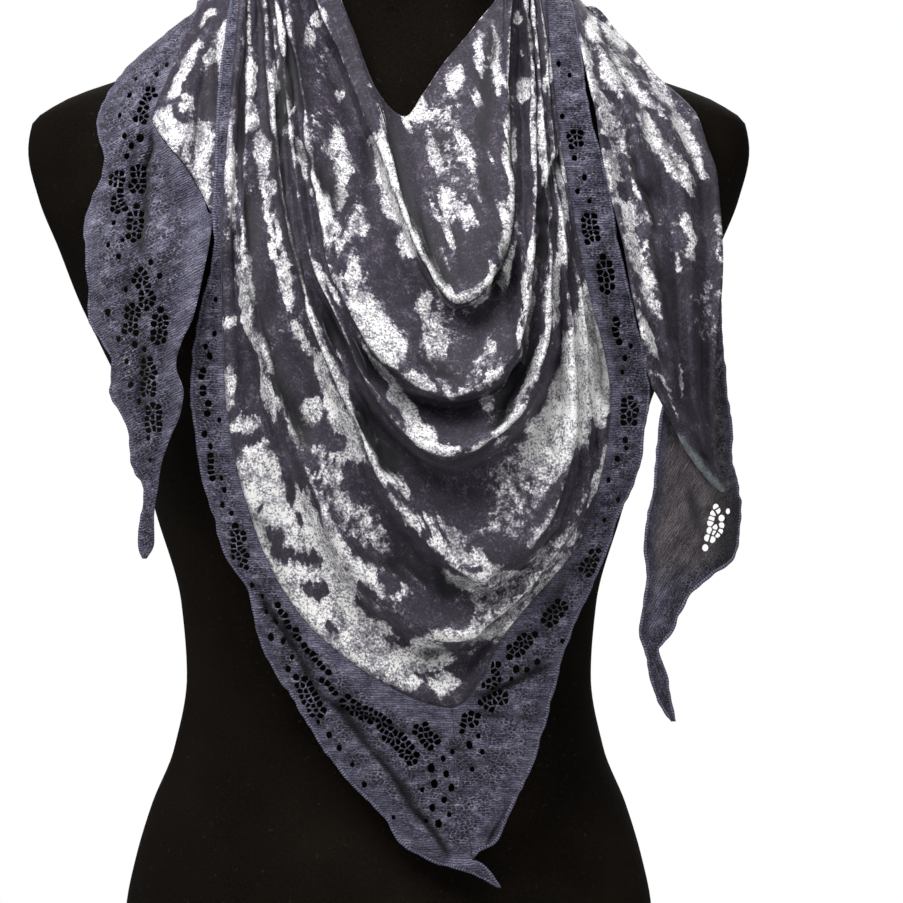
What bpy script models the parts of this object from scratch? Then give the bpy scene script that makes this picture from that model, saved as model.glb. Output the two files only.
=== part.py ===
"""Triangle scarf of crushed velvet with an openwork trim, laid twice round the neck of a dress form.

The middle of the scarf hangs as a cowl over the chest. Its two ends pass behind the neck, cross
there, and come forward over the shoulders as two tails. All sizes below are in millimetres, with
X to the viewer's right, the form's front facing -Y and Z up from the flat base of the form.
"""
import math

import bpy
import numpy as np
from mathutils import Vector
from mathutils.geometry import delaunay_2d_cdt

MM = 0.001
WALL = 1.2            # thickness of the gathered velvet and of the trim
SEAM = 0.5            # gap left where two pieces are sewn edge to edge
CLEAR = 1.3           # least distance from the form to the middle of the cloth
DROP_OVER = 55.0      # height over which the cloth turns from lying on the shoulder to hanging
MESH_STEP = 11.0      # spacing of the points inside a cut sheet of trim
VELVET_STEP = 8.0     # the same in a tail's velvet
ROW_STEP = math.sqrt(3) / 2   # rows of a triangular net stand this share of its step apart
EDGE_SHARE = 0.42     # inner points keep this share of a step from the edge
EYELET = 2.4          # radius of a cut eyelet
EYELET_MARGIN = 1.5   # least cloth between an eyelet and the edge
EYELET_SHARE = 0.25   # inner points keep this share of a step from an eyelet

# The dress form, a row for each height: half width, depth to the front and back, squareness.
FORM_COLUMNS = ("height", "half_width", "front", "back", "square")
FORM = (
    (0, 150, 100, 104, 2.3),
    (95, 144, 97, 100, 2.3),
    (120, 139, 93, 94, 2.3),
    (150, 130, 88, 86, 2.25),
    (180, 118, 84, 78, 2.2),
    (220, 111, 82, 72, 2.2),
    (260, 114, 86, 72, 2.2),
    (310, 128, 97, 79, 2.25),
    (371, 144, 112, 89, 2.3),
    (399, 157, 114, 94, 2.35),
    (426, 170, 110, 98, 2.4),
    (454, 181, 103, 99, 2.4),
    (481, 192, 94, 97, 2.4),
    (508, 198, 83, 92, 2.4),
    (522, 196, 76, 87, 2.4),
    (536, 177, 70, 80, 2.3),
    (546, 150, 66, 75, 2.2),
    (556, 125, 62, 71, 2.15),
    (567, 100, 59, 68, 2.1),
    (581, 80, 56, 65, 2.05),
    (600, 66, 54, 61, 2.0),
    (625, 60, 54, 58, 2.0),
    (660, 58, 55, 58, 2.0),
)
FORM_RINGS = 30
FORM_SIDES = 36

# The surface that the front of the scarf hangs on: wider than the form, and not drawn in at the waist.
HANG_COLUMNS = ("height", "half_width", "front")
HANG = (
    (100, 205, 96),
    (150, 205, 98),
    (200, 207, 101),
    (250, 210, 106),
    (300, 213, 111),
    (350, 215, 115),
    (400, 215, 115),
    (440, 215, 110),
    (480, 213, 98),
    (520, 205, 84),
    (560, 185, 69),
    (600, 150, 61),
    (660, 110, 58),
)
HANG_SQUARE = 2.4

# Where cloth passes over the shoulder: distance from the middle, and height.
CREST_COLUMNS = ("out", "height")
CREST = (
    (64, 644),
    (70, 632),
    (76, 621),
    (82, 612),
    (90, 604),
    (101, 594),
    (106, 588),
    (125, 572),
    (143, 558),
    (165, 545),
    (220, 540),
)

# The cowl, a row for each fold from the neckline to the edge of the trim. The six places on either
# limb are at these shares of the drop from the shoulder to the bottom of the fold. Lifts are how far
# the fold stands forward of the hanging surface, and the dip is how deep the hollow under it goes.
LIMB_SHARES = (0.0, 0.2, 0.42, 0.6, 0.76, 0.9)
LINE_SHARES = (0, 0.22, 0.5, 0.78, 1)   # shoulder, left limb, bottom, right limb and shoulder on a fold
SWAG_COLUMNS = ("name", "left", "bottom", "right", "lift_left", "lift", "lift_right", "dip", "tuck")
SWAGS = (
    ("neckline", (-64, -52, -29, -19, -12, -4), (10, 519), (65, 63, 61, 47, 31, 20), 7, 8, 8, 0, 0.5),
    ("fold_1", (-66, -43, -22, -5, 8, 20), (38, 422), (68, 66, 64, 66, 67, 62), 10, 33, 20, 20, 0.14),
    ("fold_2", (-68, -54, -43, -36, -26, -7), (34, 372), (71, 75, 78, 78, 76, 69), 17, 38, 23, 19, 0.16),
    ("fold_3", (-70, -58, -50, -42, -24, -4), (33, 341), (73, 79, 83, 86, 85, 74), 17, 36, 23, 15, 0.22),
    ("fold_4", (-72, -63, -55, -40, -17, 8), (47, 279), (76, 84, 90, 96, 98, 88), 18, 28, 20, 11, 0.3),
    ("fold_5", (-74, -74, -75, -62, -42, -15), (35, 246), (78, 87, 97, 105, 105, 84), 15, 20, 11, 6, 0.35),
    ("hem", (-76, -83, -86, -83, -69, -38), (34, 209), (83, 93, 104, 116, 104, 63), 8, 8, 8, 0, 0.5),
    ("trim_edge", (-80.5, -92, -98, -91, -60, -13), (60, 114), (93, 113, 133, 124, 90, 69), 8, 8, 8, 0, 0.5),
)
SWAG_STEPS = 44        # points along a fold
FOLD_STEPS = 3         # points from one ridge or hollow to the next
TIGHTEST_FOLD = 0.07   # deepest hollow for its width squared, so that the wall never meets itself
LIMB_DIP = 0.8         # hollows are this much shallower on the limbs than at the bottom
TUCK_GAPS = (10, 35)   # a hollow tucks up under its ridge as the folds part from the first to the second
STEP_GAPS = (8, 24)    # and lies as deep as the lower of its two ridges over these gaps
HEM_BORDER = 4.0       # the velvet lies flat over this width beside the seam
CREST_LIFT = 3.0       # how far a ridge stands out on top of the shoulder
TRIM_LIFT = 8.0        # the trim lies this far forward of the hanging surface
STRIP_LIFT = 16.0      # the left trim is folded to a strip, which lies on the left tail's velvet
STRIP_END = (455, 490)
TRIM_WAVE = 2.2        # waves along the overlocked edge
TRIM_WAVE_LENGTH = 27.0
SECOND_WAVE = (0.6, 0.61)   # a second wave on it, of this share of its height and length
TRIM_RIPPLE = 1.6      # ripples across the trim, which start this far from the seam
TRIM_RIPPLE_START = 14.0
TRIM_RIPPLE_TURN = (0.11, 0.07)   # radians a millimetre along X and Z
MITRE_POINTS = 10
STRIP_PITCH = 24.0     # eyelets along the front trim, none where it is narrower than the next value
NARROWEST_STRIP = 14.0
STRIP_ROWS = (0.5, 0.62, 0.8)   # shares of its width at which the three rows of eyelets lie

# Where the tails' edges cross the shoulder, left of the middle and right of it.
LEFT_CREST = (-83, -90, -96)
LEFT_LACE_CREST = -104
RIGHT_CREST = (97.5, 107)

# The tails, a row for each height: from the edge nearest the neck to the outer edge.
TAIL_COLUMNS = ("height", "inner", "outer")
LEFT_VELVET = (
    (586, -86.5, -101),
    (564, -89, -110),
    (540, -91.5, -118),
    (520, -93, -126),
    (509, -94, -118),
    (498, -95, -109),
    (489, -95.5, -103),
    (474, -96.5, -99.5),
)
LEFT_LACE = (
    (584, -101, -104),
    (576, -105, -113),
    (566, -109, -125),
    (550, -114, -142),
    (530, -122, -152),
    (520, -126, -155),
    (509, -118, -153),
    (498, -109, -150),
    (489, -103, -152),
    (474, -99.5, -158),
    (465, -97, -159),
    (452, -94, -158),
    (430, -96, -156),
    (413, -100, -155),
    (400, -106, -148),
    (388, -109, -142),
    (374, -105, -145),
    (362, -107, -138),
    (353, -111, -134),
    (336, -117, -132),
    (322, -119, -125),
    (308, -121, -127),
    (295, -121, -129),
    (287, -125, -127),
)
RIGHT_VELVET = (
    (588, 103, 111),
    (573, 105, 126),
    (559, 106, 136),
    (547, 107, 144),
    (534, 109, 158),
    (524, 111, 166),
    (507, 113, 171),
    (489, 116, 176),
    (450, 125, 178),
    (426, 129, 177),
    (402, 134, 174),
    (379, 139, 173),
    (370, 144, 172),
    (345, 157, 173),
    (329, 171, 174),
)
RIGHT_LACE = (
    (428, 166, 176),
    (409, 166, 177),
    (397, 165, 178),
    (376, 158, 180),
    (369, 147, 181),
    (352, 144, 183),
    (343, 143, 182),
    (324, 141, 186),
    (310, 138, 188),
    (296, 136, 187),
    (286, 137, 184),
    (278, 138, 173),
    (267, 137, 160),
    (248, 134, 150),
    (238, 137, 143),
    (224, 140, 148),
    (212, 144, 150),
    (200, 151, 153),
)
# How the tails hang: forward lift, depth of the folds, folds across the width. The right tail folds
# back at its end, so its trim lies just behind the hollows of its velvet.
TAIL_HANG_COLUMNS = ("name", "lift_high", "lift_low", "fold_depth", "folds")
TAIL_HANG = (
    ("left", 6.0, 22.0, 2.6, 2.5),
    ("right_velvet", 10.0, 17.0, 4.2, 3.0),
    ("right_lace", 10.0, 11.1, 1.2, 2.0),
)
TAIL_LIFT_HEIGHTS = (455, 500)
TAIL_FULL_FOLD = 40.0   # width from which a tail's folds have their whole depth
TAIL_PITCH = 15.0       # eyelets down a tail, from this far below its top to this far above its tip
TAIL_EYELET_ENDS = (20, 30)
TAIL_ROW = 0.22         # share of the width between the two rows of eyelets
TAIL_EYELETS = {"left": 0.6, "right": 0.72}

# The two stretches behind the neck, a row for each bearing seen from above. 180 is the left shoulder,
# 90 the nape and 0 the right shoulder. Reach and height are of the upper and lower edge of the velvet.
WRAP_COLUMNS = ("bearing", "reach_in", "height_in", "reach_out", "height_out")
WRAP_INNER = (
    (180, 64, 644, 76, 621),
    (135, 68, 643, 90, 602),
    (90, 69, 634, 90, 590),
    (45, 76, 596, 98, 568),
    (20, 90, 600, 105, 579),
    (0, 97.5, 597.5, 107, 587),
)
WRAP_OUTER = (
    (180, 83, 611, 96, 599),
    (135, 97, 616, 118, 578),
    (90, 90, 641, 109, 597),
    (45, 83, 650, 105, 612),
    (20, 70, 649, 91, 617),
    (0, 65, 642, 83, 611),
)
WRAP_STEPS = 22
WRAP_PLEATS = 3
WRAP_PLEAT_DEPTH = 2.4
WRAP_TRIM_WAVE = 0.8
WRAP_TRIM = 16.0       # width of the trim that shows below the velvet at the nape
NECK_REACH = 50.0      # least distance of a wrap's ends from the middle
WRAP_TRIM_ENDS = {"inner": (6.5, 4.0), "outer": (8.0, 13.5)}

MATERIALS = {
    # name: colour, roughness, metallic
    "form_jersey": ((0.012, 0.011, 0.010), 0.9, 0.0),
    "velvet": ((0.30, 0.29, 0.31), 0.45, 0.1),
    "trim_gauze": ((0.09, 0.085, 0.12), 0.85, 0.0),
}


def column(table, names, name):
    """One named column of a table, as an array."""
    return np.array([row[names.index(name)] for row in table], dtype=float)


def named_rows(table, names):
    """The rows of a table by their names, each a dictionary of its columns."""
    return {row[0]: dict(zip(names, row)) for row in table}


def smooth_curve(places, values):
    """A curve through the values that never swings past them (monotone cubic)."""
    x = np.asarray(places, dtype=float)
    v = np.asarray(values, dtype=float)
    order = np.argsort(x)
    x, v = x[order], v[order]
    step = np.diff(x)
    slope = (np.diff(v, axis=0).T / step).T
    tangent = np.zeros_like(v)
    tangent[0], tangent[-1] = slope[0], slope[-1]
    if len(x) > 2:
        before, after = slope[:-1], slope[1:]
        same_way = before * after > 0
        total = np.where(same_way, before + after, 1.0)
        tangent[1:-1] = np.where(same_way, 2 * before * after / total, 0.0)

    def at(where):
        where = np.clip(np.asarray(where, dtype=float), x[0], x[-1])
        i = np.clip(np.searchsorted(x, where, side="right") - 1, 0, len(x) - 2)
        h = step[i]
        t = (where - x[i]) / h
        if v.ndim > 1:
            h, t = h[..., None], t[..., None]
        start = v[i] * (2 * t**3 - 3 * t**2 + 1) + tangent[i] * h * (t**3 - 2 * t**2 + t)
        end = v[i + 1] * (3 * t**2 - 2 * t**3) + tangent[i + 1] * h * (t**3 - t**2)
        return start + end

    return at


def ease(low, high, value):
    """0 below low, 1 above high, and a soft step between."""
    t = np.clip((np.asarray(value, dtype=float) - low) / (high - low), 0, 1)
    return t * t * (3 - 2 * t)


FORM_CURVES = {
    name: smooth_curve(column(FORM, FORM_COLUMNS, "height"), column(FORM, FORM_COLUMNS, name))
    for name in FORM_COLUMNS[1:]
}
HANG_CURVES = {
    name: smooth_curve(column(HANG, HANG_COLUMNS, "height"), column(HANG, HANG_COLUMNS, name))
    for name in HANG_COLUMNS[1:]
}
CREST_HEIGHT = smooth_curve(column(CREST, CREST_COLUMNS, "out"), column(CREST, CREST_COLUMNS, "height"))


def form_reach(points):
    """1 on the form's surface, less inside it and more outside."""
    x, y, z = points.T
    depth = np.where(y < 0, FORM_CURVES["front"](z), FORM_CURVES["back"](z))
    square = FORM_CURVES["square"](z)
    across = np.abs(x / FORM_CURVES["half_width"](z)) ** square
    return (across + np.abs(y / depth) ** square) ** (1 / square)


def push_clear(points, clear=CLEAR):
    """Moves points outward until they are clear of the form."""
    points = np.array(points, dtype=float)
    for _ in range(6):
        value = form_reach(points) - 1
        sides = [form_reach(points + axis) - form_reach(points - axis) for axis in np.eye(3)]
        slope = np.stack(sides, axis=1) / 2
        steep = np.maximum(np.linalg.norm(slope, axis=1), 1e-4)
        lack = np.clip(clear - value / steep, 0, None)
        points += (slope.T * lack / steep).T
    return points


def hang_depth(x, z):
    """Depth of the surface that the cloth in front hangs on."""
    share = np.clip(np.abs(x) / HANG_CURVES["half_width"](z), 0, 0.97)
    return HANG_CURVES["front"](z) * (1 - share**HANG_SQUARE) ** (1 / HANG_SQUARE)


def front_point(x, z, lift):
    """A point of the cloth in front, which turns over the shoulder near its crest."""
    below = np.clip((CREST_HEIGHT(np.abs(x)) - z) / DROP_OVER, 0, 1)
    turn = np.sqrt(1 - (1 - below) ** 2)
    return np.stack([x, -turn * (hang_depth(x, z) + lift), z], axis=-1)


def trim_lift(x, z):
    """Lift of the front trim. Its left strip lies on the tail above, and behind the tail below."""
    strip = (STRIP_LIFT - TRIM_LIFT) * ease(*STRIP_END, z) * (np.asarray(x) < 0)
    return TRIM_LIFT + strip


def swag_line(row, pointed=False, count=SWAG_STEPS + 1):
    """The line of one fold seen from the front, from the left shoulder round to the right."""
    bottom = row["bottom"]
    shares = np.array(LIMB_SHARES)
    halves = []
    for places in (row["left"], row["right"]):
        top = float(CREST_HEIGHT(abs(places[0])))
        heights = top - shares * (top - bottom[1])
        halves.append(np.vstack([np.column_stack([places, heights]), bottom]))
    whole = np.vstack([halves[0], halves[1][-2::-1]])
    runs = (halves[0], halves[1][::-1]) if pointed else (whole,)
    dense = []
    for run in runs:
        length = np.concatenate([[0], np.cumsum(np.linalg.norm(np.diff(run, axis=0), axis=1))])
        dense.append(smooth_curve(length, run)(np.linspace(0, length[-1], 240)))
    line = np.vstack(dense)
    middle = int(np.argmin(np.linalg.norm(line - np.array(bottom), axis=1)))
    left = even_points(line[: middle + 1], count // 2 + 1)
    right = even_points(line[middle:], count // 2 + 1)
    return np.vstack([left[:-1], right])


def even_points(line, count):
    """Points evenly spaced along a line."""
    length = np.concatenate([[0], np.cumsum(np.linalg.norm(np.diff(line, axis=0), axis=1))])
    places = np.linspace(0, length[-1], count)
    return np.column_stack([np.interp(places, length, line[:, k]) for k in range(line.shape[1])])


def along_swag(crest, left, bottom, right, count):
    """A value that runs over the left limb, the bottom and the right limb of a fold."""
    u = np.linspace(0, 1, count)
    return smooth_curve(LINE_SHARES, (crest, left, bottom, right, crest))(u)


def fold_spacing(line, other):
    """Distance between two folds, square to the first of them."""
    along = np.gradient(line[:, :2], axis=0)
    along /= np.linalg.norm(along, axis=1)[:, None]
    step = (other - line)[:, :2]
    return np.maximum(np.abs(step[:, 0] * along[:, 1] - step[:, 1] * along[:, 0]), 1.0)


def cowl_rows():
    """Ridges and hollows of the cowl in turn, each as points with columns x, z and lift."""
    count = SWAG_STEPS + 1
    folds = [row for name, row in named_rows(SWAGS, SWAG_COLUMNS).items() if name != "trim_edge"]
    ridges = []
    for row in folds:
        line = swag_line(row)
        lift = along_swag(CREST_LIFT, row["lift_left"], row["lift"], row["lift_right"], count)
        if row["name"] == "hem":
            lift = trim_lift(line[:, 0], line[:, 1])
        ridges.append(np.column_stack([line, lift]))
    rows = [ridges[0]]
    for row, ridge, after in zip(folds[1:], ridges[1:], ridges[2:] + [None]):
        rows.append(ridge)
        if after is None:
            continue
        gap = fold_spacing(ridge, after)
        wanted = along_swag(0.0, row["dip"] * LIMB_DIP, row["dip"], row["dip"] * LIMB_DIP, count)
        dip = np.minimum(wanted, TIGHTEST_FOLD * gap**2)
        tuck = 0.5 + (row["tuck"] - 0.5) * ease(*TUCK_GAPS, gap)
        hollow = ridge + (after - ridge) * tuck[:, None]
        spare = np.abs(ridge[:, 2] - after[:, 2]) / 2 * ease(*STEP_GAPS, gap)
        hollow[:, 2] = (ridge[:, 2] + after[:, 2]) / 2 - spare - dip
        rows.append(hollow)
    hem, above = rows[-1], rows[-2]
    gap = fold_spacing(hem, above)
    border = hem + (above - hem) * (np.minimum(HEM_BORDER / gap, 0.4))[:, None]
    border[:, 2] = trim_lift(border[:, 0], border[:, 1])
    return rows[:-1] + [border, hem]


def cowl_grid():
    """The velvet of the cowl as a grid of points, from the neckline down to the hem."""
    rows = np.array(cowl_rows())
    places = np.arange(len(rows))
    fine = smooth_curve(places, rows.reshape(len(rows), -1))
    last = len(rows) - 1
    steps = np.append(np.linspace(0, last - 1, (last - 1) * FOLD_STEPS + 1), last)
    grid = fine(steps).reshape(len(steps), SWAG_STEPS + 1, 3)
    points = front_point(grid[..., 0], grid[..., 1], grid[..., 2])
    return push_clear(points.reshape(-1, 3)).reshape(points.shape)


def new_object(name, vertices, faces, material, collection, wall=WALL):
    """A named object from points in millimetres. A wall makes the open surface a closed shell."""
    mesh = bpy.data.meshes.new(name)
    mesh.from_pydata([tuple(p) for p in np.asarray(vertices) * MM], [], faces)
    mesh.update()
    mesh.materials.append(material)
    mesh.shade_smooth()
    piece = bpy.data.objects.new(name, mesh)
    collection.objects.link(piece)
    if wall:
        shell = piece.modifiers.new("Solidify", "SOLIDIFY")
        shell.thickness = wall * MM
        shell.offset = 0
        shell.use_even_offset = False
    return piece


def grid_faces(rows, columns, closed=False):
    """Quads of a grid of points, row after row."""
    faces = []
    for i in range(rows - 1):
        for j in range(columns if closed else columns - 1):
            k = (j + 1) % columns
            faces.append((i * columns + j, (i + 1) * columns + j, (i + 1) * columns + k, i * columns + k))
    return faces


def inside(points, outline):
    """Which points lie inside a closed outline."""
    x, y = points[:, 0][:, None], points[:, 1][:, None]
    ax, ay = outline[:, 0], outline[:, 1]
    bx, by = np.roll(ax, -1), np.roll(ay, -1)
    crossing = (ay > y) != (by > y)
    at = ax + (y - ay) * (bx - ax) / np.where(by == ay, 1e-9, by - ay)
    return (np.sum(crossing & (x < at), axis=1) % 2) == 1


def edge_distance(points, outline):
    """Distance from each point to the nearest side of a closed outline."""
    a, b = outline, np.roll(outline, -1, axis=0)
    run = b - a
    t = np.sum((points[:, None] - a) * run, axis=2) / np.maximum(np.sum(run**2, axis=1), 1e-9)
    near = a + run * np.clip(t, 0, 1)[..., None]
    return np.min(np.linalg.norm(points[:, None] - near, axis=2), axis=1)


def eyelet_outline(centre, radius=EYELET, sides=6):
    turn = np.arange(sides) * math.tau / sides
    return np.asarray(centre) + radius * np.column_stack([np.cos(turn), np.sin(turn)])


def cut_sheet(name, outline, holes, depth, material, collection, step=MESH_STEP):
    """A flat cut piece with its eyelets, laid on a hanging surface. Outline and holes are x and z."""
    low, high = outline.min(axis=0), outline.max(axis=0)
    inner = []
    for j, z in enumerate(np.arange(low[1] + step / 2, high[1], step * ROW_STEP)):
        for x in np.arange(low[0] + (j % 2) * step / 2, high[0], step):
            inner.append((x, z))
    inner = np.array(inner)
    inner = inner[inside(inner, outline)]
    inner = inner[edge_distance(inner, outline) > step * EDGE_SHARE]
    holes = [h for h in holes if np.all(inside(h, outline))]
    holes = [h for h in holes if np.min(edge_distance(h, outline)) > EYELET_MARGIN]
    for hole in holes:
        centre = hole.mean(axis=0)
        inner = inner[np.linalg.norm(inner - centre, axis=1) > EYELET + step * EYELET_SHARE]
    rings = [outline] + holes
    points, edges = [], []
    for ring in rings:
        first = len(points)
        points += [Vector(p) for p in ring.tolist()]
        edges += [(first + i, first + (i + 1) % len(ring)) for i in range(len(ring))]
    points += [Vector(p) for p in inner.tolist()]
    flat, _, faces, _, _, _ = delaunay_2d_cdt(points, edges, [], 0, 1e-5)
    flat = np.array([tuple(p) for p in flat])
    faces = np.array(faces)
    centres = flat[faces].mean(axis=1)
    keep = inside(centres, outline)
    for hole in holes:
        keep &= ~inside(centres, hole)
    used, index = np.unique(faces[keep], return_inverse=True)
    flat = flat[used]
    vertices = push_clear(depth(flat[:, 0], flat[:, 1]))
    return new_object(name, vertices, index.reshape(-1, 3).tolist(), material, collection)


def build_form(material, collection):
    """The dress form: stacked sections, closed by a flat base and a flat neck top."""
    heights = column(FORM, FORM_COLUMNS, "height")
    levels = np.interp(np.linspace(0, 1, FORM_RINGS), np.linspace(0, 1, len(heights)), heights)
    turn = np.arange(FORM_SIDES) * math.tau / FORM_SIDES
    cos, sin = np.cos(turn), np.sin(turn)
    rings = []
    for z in levels:
        power = 2 / FORM_CURVES["square"](z)
        depth = np.where(sin < 0, FORM_CURVES["front"](z), FORM_CURVES["back"](z))
        x = FORM_CURVES["half_width"](z) * np.sign(cos) * np.abs(cos) ** power
        y = depth * np.sign(sin) * np.abs(sin) ** power
        rings.append(np.column_stack([x, y, np.full_like(x, z)]))
    sides = [tuple(reversed(f)) for f in grid_faces(FORM_RINGS, FORM_SIDES, closed=True)]
    base = tuple(reversed(range(FORM_SIDES)))
    top = tuple(range((FORM_RINGS - 1) * FORM_SIDES, FORM_RINGS * FORM_SIDES))
    return new_object("dress_form", np.vstack(rings), sides + [base, top], material, collection, wall=0)


def wave_edge(line, size=TRIM_WAVE, length=TRIM_WAVE_LENGTH):
    """Gives a line the small waves of an overlocked edge, fading at its ends."""
    run = np.concatenate([[0], np.cumsum(np.linalg.norm(np.diff(line, axis=0), axis=1))])
    along = np.gradient(line, axis=0)
    along /= np.linalg.norm(along, axis=1)[:, None]
    across = np.column_stack([along[:, 1], -along[:, 0]])
    fade = np.sin(np.pi * np.clip(run / run[-1], 0, 1)) ** 0.3
    share, shorter = SECOND_WAVE
    wave = np.sin(run * math.tau / length) + share * np.sin(run * math.tau / (length * shorter) + 1.0)
    return line + across * (size * wave * fade)[:, None]


def front_trims(hem, materials, collection):
    """The two strips of trim below the hem, mitred where they meet at the scarf's point."""
    edge_row = named_rows(SWAGS, SWAG_COLUMNS)["trim_edge"]
    edge = swag_line(edge_row, pointed=True, count=2 * SWAG_STEPS + 1)
    middle = SWAG_STEPS // 2
    hem_flat = hem[:, [0, 2]]
    along = np.gradient(hem_flat, axis=0)
    along /= np.linalg.norm(along, axis=1)[:, None]
    away = np.column_stack([along[:, 1], -along[:, 0]])
    inner = hem_flat + away * SEAM
    half = len(edge) // 2
    mitre = even_points(np.array([inner[middle], edge[half]]), MITRE_POINTS)
    shift = np.array([SEAM * 0.7, 0.0])

    def depth(x, z):
        ripple = TRIM_RIPPLE * np.sin(x * TRIM_RIPPLE_TURN[0] + z * TRIM_RIPPLE_TURN[1])
        ripple *= 1 - ease(*STRIP_END, z)
        from_seam = edge_distance(np.column_stack([x, z]), np.vstack([inner, inner[::-1]]))
        near_hem = ease(0, TRIM_RIPPLE_START, from_seam)
        return front_point(x, z, trim_lift(x, z) + ripple * near_hem)

    sides = (
        ("lace_front_left", inner[: middle + 1], edge[: half + 1], -shift),
        ("lace_front_right", inner[middle:][::-1], edge[half:][::-1], shift),
    )
    for name, seam, rim, move in sides:
        rim = wave_edge(rim[::2])
        outline = np.vstack([seam[:-1], mitre + move, rim[-2::-1]])
        holes = strip_holes(seam, rim)
        cut_sheet(name, outline, holes, depth, materials["trim_gauze"], collection)


def strip_holes(seam, rim):
    """Eyelets in staggered rows between a seam and a rim, where the strip is wide enough."""
    length = np.linalg.norm(np.diff(seam, axis=0), axis=1).sum()
    count = max(int(length / STRIP_PITCH), 1)
    seam = even_points(seam, count * 2 + 1)
    rim = even_points(rim, count * 2 + 1)
    holes = []
    for i, (a, b) in enumerate(zip(seam, rim)):
        if np.linalg.norm(b - a) < NARROWEST_STRIP:
            continue
        for share in STRIP_ROWS[1:2] if i % 2 else STRIP_ROWS[2::-2]:
            holes.append(eyelet_outline(a + (b - a) * share))
    return holes


def tail_edges(table):
    """The inner and the outer edge of a tail, from its top down."""
    z = column(table, TAIL_COLUMNS, "height")
    inner = np.column_stack([column(table, TAIL_COLUMNS, "inner"), z])
    outer = np.column_stack([column(table, TAIL_COLUMNS, "outer"), z])
    return inner, outer


def tail_depth(name, inner, outer):
    """How one tail hangs: its lift, and folds that run down it and fan out with its width."""
    row = named_rows(TAIL_HANG, TAIL_HANG_COLUMNS)[name]

    def depth(x, z):
        x_in = np.interp(z, inner[::-1, 1], inner[::-1, 0])
        x_out = np.interp(z, outer[::-1, 1], outer[::-1, 0])
        width = np.abs(x_out - x_in)
        share = (x - x_in) / np.where(width < 1, 1, x_out - x_in)
        lift = row["lift_low"] + (row["lift_high"] - row["lift_low"]) * ease(*TAIL_LIFT_HEIGHTS, z)
        fold = row["fold_depth"] * np.cos(math.tau * row["folds"] * share)
        fold *= np.clip(width / TAIL_FULL_FOLD, 0, 1)
        return front_point(x, z, lift + fold)

    return depth


def build_tails(materials, collection):
    """The two tails that come forward over the shoulders."""
    velvet_in, velvet_out = tail_edges(LEFT_VELVET)
    lace_in, lace_out = tail_edges(LEFT_LACE)
    top = [(x, float(CREST_HEIGHT(-x))) for x in LEFT_CREST]
    free = lace_in[lace_in[:, 1] < velvet_in[-1, 1]]
    depth = tail_depth("left", np.vstack([velvet_in[:-1], free]), lace_out)
    outline = np.vstack([top, velvet_out, velvet_in[::-1]])
    cut_sheet("velvet_tail_left", outline, [], depth, materials["velvet"], collection, step=VELVET_STEP)
    gap = np.array([-SEAM * 0.85, -SEAM * 0.6])
    seam = np.vstack([top[-1:], velvet_out, velvet_in[-1:]]) + gap
    corner = [(LEFT_LACE_CREST, float(CREST_HEIGHT(-LEFT_LACE_CREST)))]
    outline = np.vstack([corner, lace_out, free[::-1], seam[::-1]])
    holes = [eyelet_outline(p) for p in tail_holes(lace_in, lace_out, TAIL_EYELETS["left"])]
    cut_sheet("lace_tail_left", outline, holes, depth, materials["trim_gauze"], collection)

    velvet_in, velvet_out = tail_edges(RIGHT_VELVET)
    depth = tail_depth("right_velvet", velvet_in, velvet_out)
    top = [(x, float(CREST_HEIGHT(x))) for x in RIGHT_CREST]
    outline = np.vstack([top, velvet_out, velvet_in[::-1]])
    cut_sheet("velvet_tail_right", outline, [], depth, materials["velvet"], collection, step=VELVET_STEP)
    lace_in, lace_out = tail_edges(RIGHT_LACE)
    depth = tail_depth("right_lace", lace_in, lace_out)
    outline = np.vstack([lace_out, lace_in[::-1]])
    holes = [eyelet_outline(p) for p in tail_holes(lace_in, lace_out, TAIL_EYELETS["right"])]
    cut_sheet("lace_tail_right", outline, holes, depth, materials["trim_gauze"], collection)


def tail_holes(inner, outer, share):
    """Two staggered rows of eyelets down the outer side of a tail."""
    places = []
    above, below = TAIL_EYELET_ENDS
    for z in np.arange(outer[0, 1] - above, outer[-1, 1] + below, -TAIL_PITCH):
        x_in = np.interp(z, inner[::-1, 1], inner[::-1, 0])
        x_out = np.interp(z, outer[::-1, 1], outer[::-1, 0])
        for part in (share, share + TAIL_ROW):
            places.append((x_in + (x_out - x_in) * part, z - (part > share) * TAIL_PITCH / 2))
    return places


def wrap_grid(table, bearings, shares, trim=None):
    """Points of a stretch behind the neck. Shares run from its upper to its lower edge."""
    place = column(table, WRAP_COLUMNS, "bearing")
    curves = [smooth_curve(place, column(table, WRAP_COLUMNS, name)) for name in WRAP_COLUMNS[1:]]
    rows = []
    for bearing in bearings:
        reach_in, height_in, reach_out, height_out = (float(c(bearing)) for c in curves)
        run = np.array([reach_out - reach_in, height_out - height_in])
        width = np.linalg.norm(run)
        side = np.array([-run[1], run[0]]) / width
        if side[0] < 0:
            side = -side
        middle = math.sin(math.radians(bearing))
        if trim is None:
            spread = shares
            pleat = WRAP_PLEAT_DEPTH * middle * np.sin(math.tau * WRAP_PLEATS * shares)
        else:
            wide = trim[0] + (trim[1] - trim[0]) * (1 - bearing / 180) + WRAP_TRIM * middle
            spread = (width + 2 * SEAM + shares * wide) / width
            pleat = WRAP_TRIM_WAVE * middle * np.sin(math.tau * shares)
        flat = np.array([reach_in, height_in]) + run * spread[:, None] + side * pleat[:, None]
        angle = math.radians(bearing)
        rows.append(np.column_stack([flat[:, 0] * math.cos(angle), flat[:, 0] * math.sin(angle), flat[:, 1]]))
    return np.array(rows)


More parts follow.
